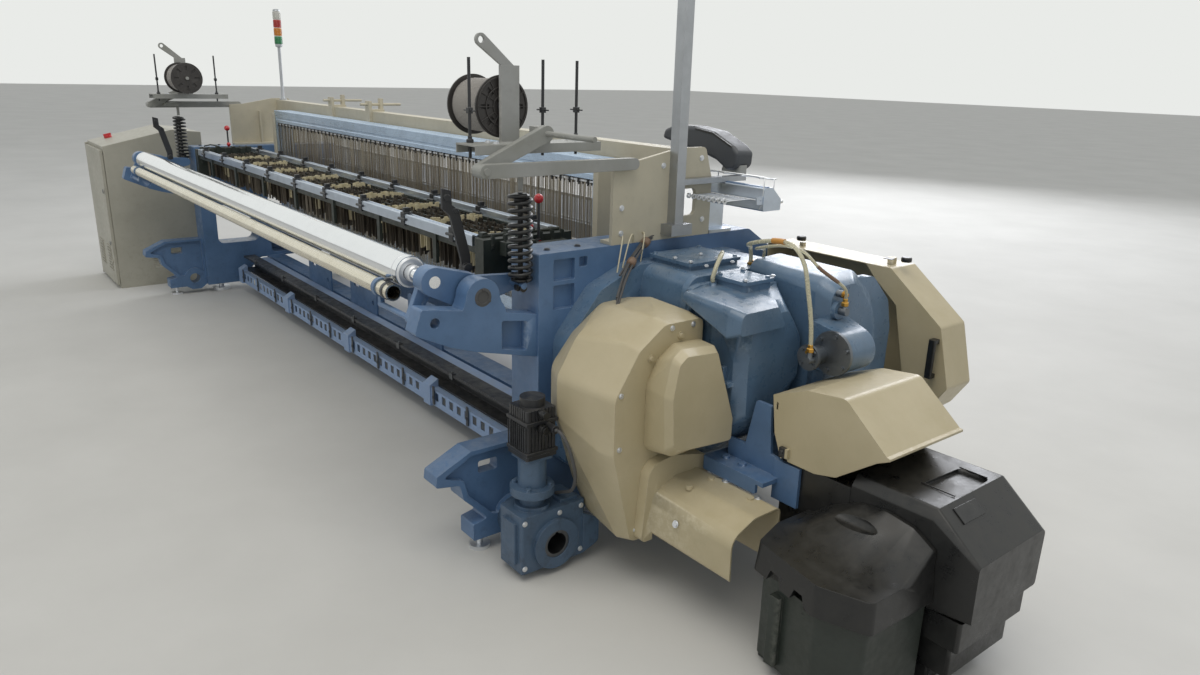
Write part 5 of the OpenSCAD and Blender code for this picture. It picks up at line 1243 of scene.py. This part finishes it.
@dataclass
class BobbinStand:
    """Edge-yarn spools on their shelves over the near and far frame.

    Attributes:
        ribs: number of ribs on a flange.
        turns: ridges of the winding, in pairs of steps.
        rod_x: x of the cone rods.
        shelf_z: height of the shelf's top.
    """

    ribs: int = 12
    turns: int = 13
    rod_x: float = 2120.0
    shelf_z: float = 1421.0

    def build(self, screws: Screws) -> None:
        """Wind the spools, rib their flanges and fit the shelf's clamps."""
        for side, sign in (("near", 1), ("far", -1)):
            self.spool(side, sign)
            self.stand(side, sign, screws)

    def spool(self, side: str, sign: int) -> None:
        """Add the winding and the moulded ribs of one spool."""
        node = f"spool_{side}"
        low, high = corners(node)
        _, y, z = centre(node)
        radius = (high.z - low.z) / 2
        inner, outer = low.x + 12, high.x - 12
        steps = 2 * self.turns
        wound = [(radius * 0.8, 0)]
        for i in range(steps + 1):
            wound.append((radius * (0.865 + 0.012 * (i % 2)), (outer - inner) * i / steps))
        wound.append((radius * 0.8, outer - inner))
        yarn = Draft().lathe(wound, (inner, y, z), (1, 0, 0), 40, closed=True)
        yarn.settle(f"{side}_edge_yarn", EDGE_YARN, 0, 80, body=node)
        draft = Draft()
        face = high.x if sign > 0 else low.x
        for ring in (0.34, 0.62, 0.93):
            r, tall = radius * ring, 4 * sign
            ridge = [(r - 2.5, 0), (r + 2.5, 0), (r + 2, tall), (r - 2, tall)]
            draft.lathe(ridge, (face, y, z), (1, 0, 0), 48, closed=True)
        for i in range(self.ribs):
            a = 2 * math.pi * i / self.ribs
            c, s = math.cos(a), math.sin(a)
            r0, r1, w = radius * 0.34, radius * 0.93, 1.6
            corner = [(y + r0 * c - w * s, z + r0 * s + w * c), (y + r1 * c - w * s, z + r1 * s + w * c)]
            corner += [(y + r1 * c + w * s, z + r1 * s - w * c), (y + r0 * c + w * s, z + r0 * s - w * c)]
            draft.prism(corner, Axis.X, min(face, face + 3.5 * sign), max(face, face + 3.5 * sign))
        draft.settle(f"{side}_flange_ribs", SPOOL_PLASTIC, 0, 30, body=node)

    def stand(self, side: str, sign: int, screws: Screws) -> None:
        """Fit the black centre hub, rod collars and screws of one stand."""
        low, high = corners(f"spool_{side}")
        _, y, z = centre(f"spool_{side}")
        face = high.x if sign > 0 else low.x
        nut = [(0, 0), (20, 0), (20, 9), (13, 13), (13, 22), (0, 22)]
        hub = Draft().lathe([(r, h * sign) for r, h in nut], (face + sign, y, z), (1, 0, 0), 24)
        hub.settle(f"{side}_spool_nut", BLACK_LACQUER, 0, 30, body=f"spool_{side}")
        spots = [(sign * x, y, self.shelf_z) for y in (-620, -300) for x in (2130, 2180)]
        screws.fasten(f"{side}_shelf_screws", STEEL, spots, (0, 0, 1), 8)
        rods = Draft()
        for spot in (-680, -400, -260) if sign > 0 else (-680, -300):
            x = sign * self.rod_x
            rods.rod((x, spot, 1372), (x, spot, 1681), 5.2, 12)
            rods.lathe([(0, 0), (12, 0), (12, 9), (7, 12), (7, 20), (0, 20)], (x, spot, self.shelf_z), (0, 0, 1), 16)
            rods.rod((x - 34, spot, 1520), (x + 34, spot, 1520), 2.4, 8)
            rods.box((x - 8, spot - 8, 1511), (x + 8, spot + 8, 1529))
        rods.settle(f"{side}_cone_rods", BLACK_LACQUER, 0, 35)


@dataclass
class OilLines:
    """Nylon oil tubes, the vent hose, their brass unions and the wrapped cables on the housings.

    Attributes:
        port: middle of the pump's outlet.
        face: x of the outer housing's front.
        inner: x of the inner housing's end.
        top: height of the housings' tops.
    """

    port: tuple[float, float, float] = (2996.0, 12.0, 818.0)
    face: float = 2950.0
    inner: float = 2600.0
    top: float = 1000.0

    def build(self) -> None:
        """Run the tubes, screw in the unions and lay the cables."""
        self.tubes()
        self.unions()
        self.cables()

    def tubes(self) -> None:
        """Run the three tubes along the points that the frame's solids follow."""
        (x, y, z), c, e, t = self.port, self.face, self.inner, self.top
        first = [(x, y, z + 15), (x, y, z + 42), (x - 6, y - 2, z + 110), (x - 24, y - 6, z + 200)]
        first += [(x - 46, y - 8, z + 280), (x - 92, y - 8, z + 330), (x - 160, y, z + 336), (x - 250, y + 16, z + 318)]
        first += [(x - 340, y + 60, z + 290), (e - 30, 180, t + 70), (e - 50, 210, t + 7)]
        second = [(c + 22, 199, z + 135), (c + 22, 199, z + 152), (c + 34, 169, z + 196), (c + 10, y + 60, z + 262)]
        second += [(c - 40, y + 34, z + 310), (c - 114, y + 40, z + 316), (c - 204, y + 56, z + 298)]
        second += [(c - 290, y + 96, z + 272), (e - 20, 240, t + 60), (e - 40, 260, t + 7)]
        hose = [(e + 30, -60, t - 9), (e + 30, -61, t + 8), (e + 24, -40, t + 44), (e - 6, 10, t + 66)]
        hose += [(e - 60, 70, t + 60), (e - 100, 100, t + 34)]
        first, second, hose = (smooth_route(path, 6) for path in (first, second, hose))
        draft = Draft().tube(first, 7, 14).tube(second, 5, 12).tube(hose, 7.5, 14)
        draft.settle("nylon_oil_tubes", TUBE_NYLON, 0, 60, replaced="oil_tubes")
        sleeve = Draft().tube(second[14:20], 6.2, 12)
        sleeve.settle("brown_tube_sleeve", BROWN_SLEEVE, 0, 60)
        joint = Draft().tube(first[34:39], 9.5, 14)
        joint.settle("orange_tube_joint", ORANGE_JOINT, 0, 60)

    def unions(self) -> None:
        """Screw brass unions and plugs into the pump and the housings."""
        x, y, z = self.port
        draft = Draft()
        nut = [(0, 0), (11, 0), (13, 2), (13, 12), (11, 14), (9, 15), (9, 24), (7.2, 26), (0, 26)]
        draft.lathe(nut, (x, y, z + 12), (0, 0, 1), 6)
        draft.lathe(nut, (self.face + 22, 199, z + 128), (0, 0, 1), 6)
        for spot in ((self.inner - 50, 210, self.top + 2), (self.inner - 40, 260, self.top + 2)):
            draft.lathe([(r * 1.1, h * 0.7) for r, h in nut], spot, (0, 0, 1), 6)
        plug = [(0, 0), (12.5, 0), (12.5, 5), (8, 6), (8, 17), (5, 19), (0, 19)]
        draft.lathe(plug, (self.face + 11, 199, z + 165), (1, 0, 0), 6)
        draft.lathe([(0, 0), (6, 0), (6, 9), (0, 9)], (x - 22, y + 19, z + 4), (0, -1, 0), 6)
        draft.settle("brass_unions", BRASS, 0.6, 25)

    def cables(self) -> None:
        """Lay the wrapped cables over the inner housing and the frame, and bend pale leads down beside them."""
        t = self.top
        base = [(2180, 360, 1068), (2200, 250, 1070), (2215, 120, 1070), (2242, 0, 1066)]
        base += [(2300, -120, t + 20), (2370, -230, t - 34), (2420, -300, t - 90), (2440, -332, t - 140)]
        draft = Draft()
        for i in range(7):
            dx, dz = 9 * math.cos(i * 1.9) * (0.5 + 0.2 * i), 6 + 5 * math.sin(i * 1.3)
            points = [
                (x + dx + 6 * math.sin(i + k), y + 5 * math.cos(2 * i + k), z + dz + (i % 3) * 2)
                for k, (x, y, z) in enumerate(base)
            ]
            last = len(points) - (i % 3)
            draft.tube(smooth_route(points[:last], 4), 3.2 + 0.7 * (i % 2), 8)
        draft.settle("dark_cables", BLACK_RUBBER, 0, 60)
        wrap = Draft()
        for k in (1, 2, 3, 4):
            a, b = Vector(base[k]), Vector(base[k + 1])
            spot = a.lerp(b, 0.35) + Vector((0, 0, 9))
            wrap.lathe([(10, -16), (16, -13), (17, 0), (16, 13), (10, 16)], spot, b - a, 14)
        wrap.settle("cable_wraps", BROWN_SLEEVE, 0, 60)
        loose = Draft()
        for i, reach in enumerate((60, 95, 70)):
            a = Vector((2236 + 14 * i, -30 - 60 * i, 1062))
            bends = [(0, 0, 0), (20, -20, 34), (46, -reach * 0.6, 22), (58, -reach, -62 - 10 * i)]
            loose.tube(smooth_route([a + Vector(bend) for bend in bends]), 2.6, 8)
        loose.settle("pale_leads", CREAM_PVC, 0, 60)


@dataclass
class DriveTrim:
    """Screws of the gear housings and covers, the guard's knobs and the hood's latch.

    Attributes:
        lid_z: height of the middle housing's top plate.
        cover_x: x of the drive cover's face.
    """

    lid_z: float = 1017.0
    cover_x: float = 2701.0

    def build(self, screws: Screws) -> None:
        """Fasten the covers, the housings' plates and the guards."""
        spots = [(x, y, self.lid_z) for x in (2618, 2754) for y in (-38, 94)]
        screws.fasten("middle_cover_screws", STEEL, spots, (0, 0, 1), 6)
        top = corners("gear_housing_inner")[1].z
        spots = [(x, y, top) for x in (2420, 2500, 2576) for y in (-40, 86)]
        screws.fasten("inner_cover_screws", STEEL, spots, (0, 0, 1), 6)
        cover = [(self.cover_x, y, z) for y, z in ((-300, 885), (-500, 700), (-500, 520), (-420, 215), (-210, 885))]
        screws.fasten("cover_screws", STEEL, cover, (1, 0, 0), 7)
        tube = [(2870, -190, 392.5), (3010, -190, 392.5)]
        screws.fasten("shaft_cover_screws", STEEL, tube, (0, 0, 1), 9)
        side = [(2860, -394, 300)]
        screws.fasten("shaft_cover_side_screw", STEEL, side, (0, -0.95, 0.32), 9)
        low, high = corners("front_guard")
        knobs = Draft()
        for x in (high.x - 250, low.x + 130):
            knobs.lathe([(0, 0), (17, 0), (19, 3), (19, 14), (15, 18), (0, 18)], (x, 668, high.z), (0, 0, 1), 20)
        knobs.box((high.x - 335, 650, high.z - 1), (high.x - 300, 676, high.z + 1.5))
        knobs.settle("guard_knobs", BLACK_ABS, 0.8, body="front_guard")
        x, y, _ = corners("dobby_hood")[0]
        latch = Draft().box((x + 52, y - 2, 528), (x + 74, y + 12, 560))
        latch.rod((x + 63, y - 8, 546), (x + 63, y, 546), 7, 12)
        latch.settle("hood_latch", BLACK_LACQUER, 1.0)


@dataclass
class DobbyTrim:
    """Bare plate, rim of the grip recess and catches of the black dobby cases."""

    def build(self) -> None:
        """Fit the recess rim, the bare plate and the catches."""
        x, _, top = corners("dobby_case")[1]
        badge = Draft().prism([(x - 124, 550.5), (x - 86, 520.4), (x - 91, 513.5), (x - 129, 543.6)], Axis.Y, -38, 68)
        badge.settle("bare_plate", BLACK_GLOSS, 1.5)
        rim = Draft()
        for y0, y1, x0, x1 in ((8, 12, x - 254, x - 150), (192, 196, x - 244, x - 158)):
            rim.box((x0, y0, top - 2), (x1, y1, top + 1.5))
        rim.settle("grip_rim", BLACK_ABS, 0.6)
        catch = Draft()
        for y in (20, 150):
            catch.box((x - 50, y, 176), (x - 34, y + 36, 214))
        catch.settle("case_catches", GREY_PLASTIC, 1.5)


@dataclass
class LetOff:
    """Servo motor of the warp let-off with its plugs, and the screws of the worm gearbox.

    Attributes:
        motor_mm: side of the motor's square body.
        fins: number of cooling fins on its face.
        worm_mm: distance of the worm shaft from the gearbox's inner side.
        flange_mm: radius of the screw ring round that shaft.
    """

    motor_mm: float = 120.0
    fins: int = 9
    worm_mm: float = 180.0
    flange_mm: float = 62.0

    def build(self, screws: Screws) -> None:
        """Fit the servo's bands, fins and plugs, and the gearbox screws."""
        low, high = corners("letoff_motor")
        size = self.motor_mm
        x0, y0 = low.x, low.y
        draft = Draft()
        for z in (low.z + 14, low.z + 120):
            draft.box((x0 - 1.5, y0 - 1.5, z), (x0 + size + 1.5, y0 + size + 1.5, z + 12))
        for i in range(self.fins):
            x = x0 + 10 + i * (size - 20) / (self.fins - 1)
            draft.box((x - 2, y0 - 3, low.z + 30), (x + 2, y0 + 1, low.z + 116))
        draft.settle("servo_bands", BLACK_LACQUER, 1.0)
        plug = Draft()
        for z in (high.z - 92, high.z - 40):
            plug.rod((x0 + size, y0 + 52, z), (x0 + size + 34, y0 + 52, z), 13, 18)
            plug.lathe([(15, 0), (15, 6), (14, 7), (15, 8), (15, 14)], (x0 + size + 8, y0 + 52, z), (1, 0, 0), 20)
        plug.settle("servo_plugs", BLACK_ABS, 0, 35)
        face = [(2471, y, z) for y in (-700, -560, -470) for z in (52, 220)]
        screws.fasten("gearbox_screws", STEEL, face, (1, 0, 0), 7)
        x, r = corners("letoff_gearbox")[0].x + self.worm_mm, self.flange_mm
        ring = [(x + r * math.cos(a), -625 + r * math.sin(a), 300) for a in (0.8, 2.35, 3.95, 5.5)]
        screws.fasten("flange_screws", STEEL, ring, (0, 0, 1), 7)


@dataclass
class Terminal:
    """Operator terminal: a dark wedge-shaped head with a hood over its keys.

    Attributes:
        outline: side of the head in (x, z), from its thin end to its beak.
        bevel_mm: how far its moulded edges are rounded.
    """

    outline: tuple[tuple[float, float], ...] = (
        (1856, 1392), (1868, 1428), (1920, 1446), (2040, 1449), (2150, 1436), (2262, 1388), (2290, 1366),
        (2286, 1318), (2268, 1300), (2230, 1296), (2170, 1330), (2085, 1352), (1960, 1372),
    )
    bevel_mm: float = 14.0

    def build(self) -> None:
        """Build the head, its key panel and its neck."""
        low, high = corners("control_terminal")
        head = Draft().prism(self.outline, Axis.Y, low.y + 2, high.y - 8)
        piece = head.object("terminal_head", GREY_PLASTIC, 0, 50)
        bevel = piece.modifiers.new("moulded edges", "BEVEL")
        bevel.width = self.bevel_mm * MM
        bevel.segments = 4
        bevel.limit_method = "ANGLE"
        bevel.angle_limit = math.radians(20)
        settle(piece, "control_terminal", GREY_PLASTIC.slot, "control_terminal")
        panel = [(1888, 1434), (1930, 1448), (2036, 1450.5), (2036, 1446), (1930, 1443)]
        strip = [(2050, 1444), (2148, 1434), (2252, 1390), (2258, 1380), (2150, 1424), (2050, 1436)]
        keys = Draft().prism(panel, Axis.Y, low.y + 14, high.y - 20).prism(strip, Axis.Y, low.y + 0.5, low.y + 8)
        keys.settle("terminal_panel", BLACK_ABS, 0.8, body="control_terminal")
        neck = Draft().rod((2271, 424, 1280.5), (2271, 424, 1318), 22, 28)
        neck.box((2180, 412, 1284), (2271, 436, 1300)).box((2180, 416, 1296), (2204, 432, 1336))
        neck.settle("terminal_neck", LINT_ENAMEL, 1.5, body="control_terminal")


@dataclass
class Presenter:
    """Blue cover strip, magnets and wire guides of the weft presenter.

    Attributes:
        units: number of weft fingers.
        pitch_mm: distance between two of them.
    """

    units: int = 8
    pitch_mm: float = 26.0

    def build(self) -> None:
        """Build the strip, the unit caps and the open wire frames."""
        low, high = corners("weft_presenter")
        strip = Draft().box((low.x + 6, 330, high.z - 2), (high.x - 4, 352, high.z + 3))
        strip.settle("presenter_strip", BLUE_ENAMEL, 1.0)
        caps = Draft()
        magnet = [(0, 0), (9, 0), (10, 2), (10, 18), (7, 21), (7, 34), (0, 34)]
        for i in range(self.units):
            caps.lathe(magnet, (2255 + i * self.pitch_mm, 449, high.z - 65), (0, 1, 0), 14)
        caps.settle("presenter_magnets", STEEL, 0, 30)
        wires = Draft()
        for y, z in ((322, 1272), (376, 1262)):
            ring = [(2200, y, 1258), (2200, y, z + 26), (2484, y, z + 26), (2484, y, 1200), (2470, y, 1180)]
            wires.tube(ring, 3, 8)
        for x in (2210, 2300, 2390, 2478):
            wires.rod((x, 300, 1296), (x, 392, 1288), 2.5, 8)
        wires.settle("presenter_wires", STEEL, 0, 60)


@dataclass
class StackLight:
    """Signal lamp with four coloured lenses on an aluminium pole.

    Attributes:
        lens_mm: height of a lens.
        gap_mm: dark gap between two lenses.
    """

    lens_mm: float = 54.0
    gap_mm: float = 3.0

    def build(self) -> None:
        """Build the pole, the foot and the lenses."""
        low, high = corners("stack_light")
        x, y, _ = centre("stack_light")
        radius = (high.x - low.x) / 2 - 1
        step = self.lens_mm + self.gap_mm
        base = high.z - 4 * step - 16
        tall = base - low.z
        post = [(0, 0), (26, 0), (26, 8), (14, 12), (11, 30), (11, tall - 24), (radius - 4, tall - 18)]
        post += [(radius - 4, tall), (0, tall)]
        cap = [(0, 0), (radius - 3, 0), (radius - 5, 9), (radius - 14, 14), (0, 15)]
        pole = Draft().lathe(post, (x, y, low.z), (0, 0, 1), 32).lathe(cap, (x, y, high.z - 16), (0, 0, 1), 32)
        pole.settle("lamp_pole", ALUMINIUM_UPRIGHT, 0, 35, replaced="stack_light")
        profile = [(0, 0), (radius - 2, 0), (radius - 2, 3)]
        for k in range(7):
            profile += [(radius, 6 + k * 6.4), (radius - 2, 9 + k * 6.4)]
        profile += [(radius - 2, self.lens_mm), (0, self.lens_mm)]
        lenses = (("green", GREEN_LENS), ("amber", AMBER_LENS), ("red", RED_LENS), ("white", WHITE_LENS))
        for i, (name, lens) in enumerate(lenses):
            draft = Draft().lathe(profile, (x, y, base + i * step), (0, 0, 1), 32)
            draft.settle(f"{name}_lens", lens, 0, 50)


@dataclass
class Cabinet:
    """Louvres and locks of the electrical cabinet.

    Attributes:
        louvres: number of slats in a field.
        pitch_mm: distance between two of them.
    """

    louvres: int = 9
    pitch_mm: float = 22.0

    def build(self, bank: Bank) -> None:
        """Fit the louvres of the door and side, and the door's locks."""
        low, high = corners("cabinet_door")
        y = low.y
        for name, x in (("left", low.x + 160), ("right", high.x - 150)):
            slat = Draft().prism([(y + 12, 0), (y + 1, 4), (y, 12), (y + 12, 12)], Axis.X, -70, 70)
            bank.lay(
                slat, f"{name}_louvres", CABINET_PAINT, 0, 30, "cabinet_door", Count=self.louvres,
                Start=(x * MM, 0.0, 0.12), Step=(0.0, 0.0, self.pitch_mm * MM)
            )
        lock = Draft()
        for z in (340, 720):
            lock.lathe([(0, 0), (17, 0), (17, 1), (14, 2.5), (0, 2.5)], (high.x - 26, y, z), (0, -1, 0), 24)
            lock.box((high.x - 28, y - 3, z - 10), (high.x - 24, y - 1, z + 10))
        lock.settle("cabinet_locks", DARK_STEEL, 0.5, 35, body="cabinet_door")
        side = Draft()
        for i in range(self.louvres):
            z = 130 + i * self.pitch_mm
            side.prism([(-640, z), (-500, z), (-500, z + 4), (-640, z + 4)], Axis.X, -2549, -2545)
        side.settle("side_louvres", CABINET_PAINT, 0.5)


@dataclass
class FrameTrim:
    """Screws of the arch plates and frames, clips of the cable ducts and clamps of the harness rail."""

    def build(self, screws: Screws, bank: Bank) -> None:
        """Fasten the plates and clip the ducts."""
        for side, sign in (("near", 1), ("far", -1)):
            plate = ((-150, 1100), (-150, 1190), (40, 1330), (120, 1120), (230, 1350), (250, 1120))
            spots = [(sign * 2250.5, y, z) for y, z in plate]
            screws.fasten(f"{side}_plate_screws", STEEL, spots, (sign, 0, 0), 8)
            spots = [(sign * 2195, y, 1061) for y in (-430, -300, 420)]
            screws.fasten(f"{side}_frame_screws", DARK_STEEL, spots, (0, 0, 1), 9)
        low, high = corners("cable_ducts")
        clip = Draft().box((-9, low.y - 2, low.z + 20), (9, low.y + 3, high.z - 50))
        clip.box((-4, low.y - 6, low.z + 50), (4, low.y - 1, low.z + 64))
        bank.lay(
            clip, "duct_clips", GREY_PLASTIC, 0.6, Count=12, Start=(-1.9, 0.0, 0.0), Step=(0.33, 0.0, 0.0),
            Slack=(0.03, 0.0, 0.0)
        )
        y, z = corners("harness_rail")[0].y, corners("harness_rail")[1].z
        hanger = Draft().box((-16, y - 4, z - 24), (16, y + 18, z + 5))
        hanger.rod((0, y + 6, z + 5), (0, y + 6, z + 14), 6, 10)
        bank.lay(
            hanger, "rail_clamps", DARK_STEEL, 0.8, Count=7, Start=(-1.75, 0.0, 0.0), Step=(0.58, 0.0, 0.0),
            Slack=(0.02, 0.0, 0.0)
        )


@dataclass
class Studio:
    """Pale floor, soft light and the camera at the photograph's angle.

    Attributes:
        eye: place of the camera in metres.
        right: direction in the scene of the picture's right side.
        up: direction of its top.
        back: direction from the loom to the camera.
        lens_mm: focal length.
        sensor_mm: width of the sensor.
        aim: point in metres that the lamps look at.
    """

    eye: tuple[float, float, float] = (4.6, -2.1, 1.65)
    right: tuple[float, float, float] = (0.6158, 0.7874, 0.0264)
    up: tuple[float, float, float] = (-0.2471, 0.1613, 0.9555)
    back: tuple[float, float, float] = (0.7481, -0.5949, 0.2939)
    lens_mm: float = 25.989
    sensor_mm: float = 36.0
    aim: tuple[float, float, float] = (0.6, 0.0, 0.7)

    def camera(self) -> None:
        """Set the camera."""
        data = bpy.data.cameras.new("view")
        data.lens = self.lens_mm
        data.sensor_width = self.sensor_mm
        data.clip_end = 200.0
        made = linked("view", data)
        columns = Matrix((self.right, self.up, self.back)).transposed().to_4x4()
        made.matrix_world = Matrix.Translation(self.eye) @ columns
        bpy.context.scene.camera = made

    def floor(self) -> None:
        """Lay a plain pale floor under the loom."""
        draft = bmesh.new()
        bmesh.ops.create_grid(draft, x_segments=1, y_segments=1, size=60.0)
        mesh = bpy.data.meshes.new("floor")
        draft.to_mesh(mesh)
        draft.free()
        material = bpy.data.materials.new("pale_concrete")
        material.use_nodes = True
        tree = material.node_tree
        coords = add_node(tree, "ShaderNodeTexCoord").outputs["Object"]
        worn = patches(tree, coords, 900, 0.3, 0.7, detail=6.0)
        tone = stained(tree, linear("#cfcec9"), linear("#c6c5c0"), 1.0, worn)
        feed(tree.nodes["Principled BSDF"], Base_Color=tone, Roughness=0.75)
        mesh.materials.append(material)
        linked("floor", mesh)

    def light(self) -> None:
        """Light the room evenly, with a broad soft lamp from the windows behind."""
        world = bpy.data.worlds.new("room")
        bpy.context.scene.world = world
        world.use_nodes = True
        tree = world.node_tree
        tree.nodes.clear()
        path = add_node(tree, "ShaderNodeLightPath").outputs
        seen = path["Is Camera Ray"]
        for ray in ("Is Glossy Ray", "Is Transmission Ray"):
            seen = add_node(tree, "ShaderNodeMath", {"operation": "MAXIMUM"}, {0: seen, 1: path[ray]}).outputs[0]
        fill = add_node(tree, "ShaderNodeBackground", {"Color": linear("#eef1f4"), "Strength": 0.62}).outputs[0]
        pale = add_node(tree, "ShaderNodeBackground", {"Color": linear("#e9ebe8"), "Strength": 1.0}).outputs[0]
        mixed = add_node(tree, "ShaderNodeMixShader", None, {0: seen, 1: fill, 2: pale}).outputs[0]
        add_node(tree, "ShaderNodeOutputWorld", None, {0: mixed})
        for name, place, size, power, colour in (
            ("windows", (-3.0, 9.0, 6.0), 8.0, 620.0, "#f6f8ff"),
            ("roof", (3.0, -2.0, 7.5), 7.0, 240.0, "#fffaf2"),
        ):
            data = bpy.data.lights.new(name, "AREA")
            data.shape = "DISK"
            data.size = size
            data.energy = power
            data.color = linear(colour)[:3]
            turn = (Vector(self.aim) - Vector(place)).to_track_quat("-Z", "Y").to_matrix().to_4x4()
            linked(name, data).matrix_world = Matrix.Translation(place) @ turn
        bpy.context.scene.view_settings.view_transform = "Standard"


# What each node of the frame is made of; a node that is not listed is bare aluminium
NODE_FINISHES: dict[str, Finish] = {
    node: finish
    for finish, nodes in (
        (BLUE_ENAMEL, (
            "side_frame_near", "side_frame_far", "cross_members", "rear_brackets", "dobby_pedestal", "breast_beam",
            "backrest_arms",
        )),
        (BLACK_LACQUER, ("harness_rail", "letoff_motor", "tension_springs")),
        (DUCT_PVC, ("cable_ducts",)),
        (STEEL, ("levelling_feet", "droppers", "presenter_fingers", "cloth_roller", "reed")),
        (HOUSING_ENAMEL, ("gear_housing_inner", "gear_housing_middle", "gear_housing_outer")),
        (BLACK_ABS, ("guard_handle", "dobby_lid", "dobby_case")),
        (CAST_GREY, ("oil_pump",)),
        (TUBE_NYLON, ("oil_tubes",)),
        (BEIGE_COAT, ("drive_cover", "drive_cover_bulge", "shaft_cover", "dobby_hood", "front_guard")),
        # The stop motion frame takes the dark casting paint as painted shade, so that its uprights read as the shaded
        # opening behind the rails
        (DARK_CASTING, ("dobby_body", "stop_motion_frame")),
        (ARCH_PAINT, ("arch_beam", "arch_plates")),
        (ALUMINIUM_UPRIGHT, ("mast",)),
        (CREAM_PVC, ("stack_light",)),
        (LINT_ENAMEL, ("bobbin_stand_near", "bobbin_stand_far")),
        (SPOOL_PLASTIC, ("spool_near", "spool_far")),
        (RED_KNOB, ("stop_lever_near", "stop_lever_far", "main_switch")),
        (ALUMINIUM, ("weft_presenter", "sley")),
        (GEARBOX_ENAMEL, ("letoff_gearbox",)),
        (BLACK_RUBBER, ("letoff_cable", "press_roller")),
        (DARK_STEEL, ("letoff_hub",)),
        (CABINET_PAINT, ("control_cabinet", "cabinet_door")),
        (ROLLER_COVER, ("take_up_roller",)),
        (CHROME, ("backrest_roller",)),
        (TUBE_STEEL, ("deflector_tube",)),
        (GREY_PLASTIC, ("control_terminal",)),
    )
    for node in nodes
}

# Nodes with turned, drawn or moulded surfaces, shaded smooth up to an edge angle in degrees
SMOOTH_NODES: dict[str, float] = {
    "gear_housing_inner": 36, "gear_housing_middle": 32, "gear_housing_outer": 36, "oil_pump": 30,
    "drive_cover": 34, "drive_cover_bulge": 40, "shaft_cover": 36, "dobby_pedestal": 30, "dobby_hood": 28,
    "dobby_body": 34, "dobby_lid": 26, "dobby_case": 26, "front_guard": 28, "backrest_roller": 30,
    "deflector_tube": 30, "backrest_arms": 30, "take_up_roller": 30, "press_roller": 30, "cloth_roller": 30,
    "breast_beam": 30, "rear_brackets": 30, "letoff_gearbox": 30, "letoff_cable": 60, "letoff_hub": 30,
    "spool_near": 30, "spool_far": 30, "stop_lever_near": 40, "stop_lever_far": 40, "bobbin_stand_near": 30,
    "bobbin_stand_far": 30, "side_frame_near": 30, "side_frame_far": 30, "guard_handle": 35, "main_switch": 30,
}


def smooth_nodes() -> None:
    """Stand a smoothly shaded copy in for each node whose facets would show."""
    bodies = {node: body for body, nodes in frame["record"]["behaviour"]["bodies"].items() for node in nodes}
    slots = {part["node"]: part["material_slot"] for part in frame["record"]["subparts"]}
    for node, angle in SMOOTH_NODES.items():
        bag = bmesh.new()
        bag.from_mesh(frame["nodes"][node].data)
        bmesh.ops.remove_doubles(bag, verts=bag.verts, dist=0.00002)
        bmesh.ops.dissolve_limit(bag, angle_limit=math.radians(0.4), verts=bag.verts, edges=bag.edges)
        mesh = bpy.data.meshes.new(f"{node}_skin")
        bag.to_mesh(mesh)
        bag.free()
        mesh.shade_smooth()
        mesh.set_sharp_from_angle(angle=math.radians(angle))
        mesh.materials.append(NODE_FINISHES[node].material())
        piece = linked(mesh.name, mesh)
        weighted = piece.modifiers.new("flat faces stay flat", "WEIGHTED_NORMAL")
        weighted.keep_sharp = True
        settle(piece, bodies[node], slots[node], node)


def dress_nodes() -> None:
    """Give every node of the frame its finish."""
    for name, thing in frame["nodes"].items():
        thing.data.materials.clear()
        thing.data.materials.append(NODE_FINISHES.get(name, ALUMINIUM).material())


def main() -> None:
    """Build the loom's dressing in order."""
    logging.basicConfig(level=logging.INFO, format="%(name)s: %(message)s")
    studio = Studio()
    studio.camera()
    studio.floor()
    studio.light()
    dress_nodes()
    smooth_nodes()
    bank = Bank("bank of strips")
    screws = Screws("cap screws")
    Harness().build(bank)
    StopMotion().build(bank)
    Backrest().build()
    BobbinStand().build(screws)
    OilLines().build()
    DriveTrim().build(screws)
    DobbyTrim().build()
    LetOff().build(screws)
    Terminal().build()
    Presenter().build()
    StackLight().build()
    Cabinet().build(bank)
    FrameTrim().build(screws, bank)


if __name__ == "__main__":
    main()
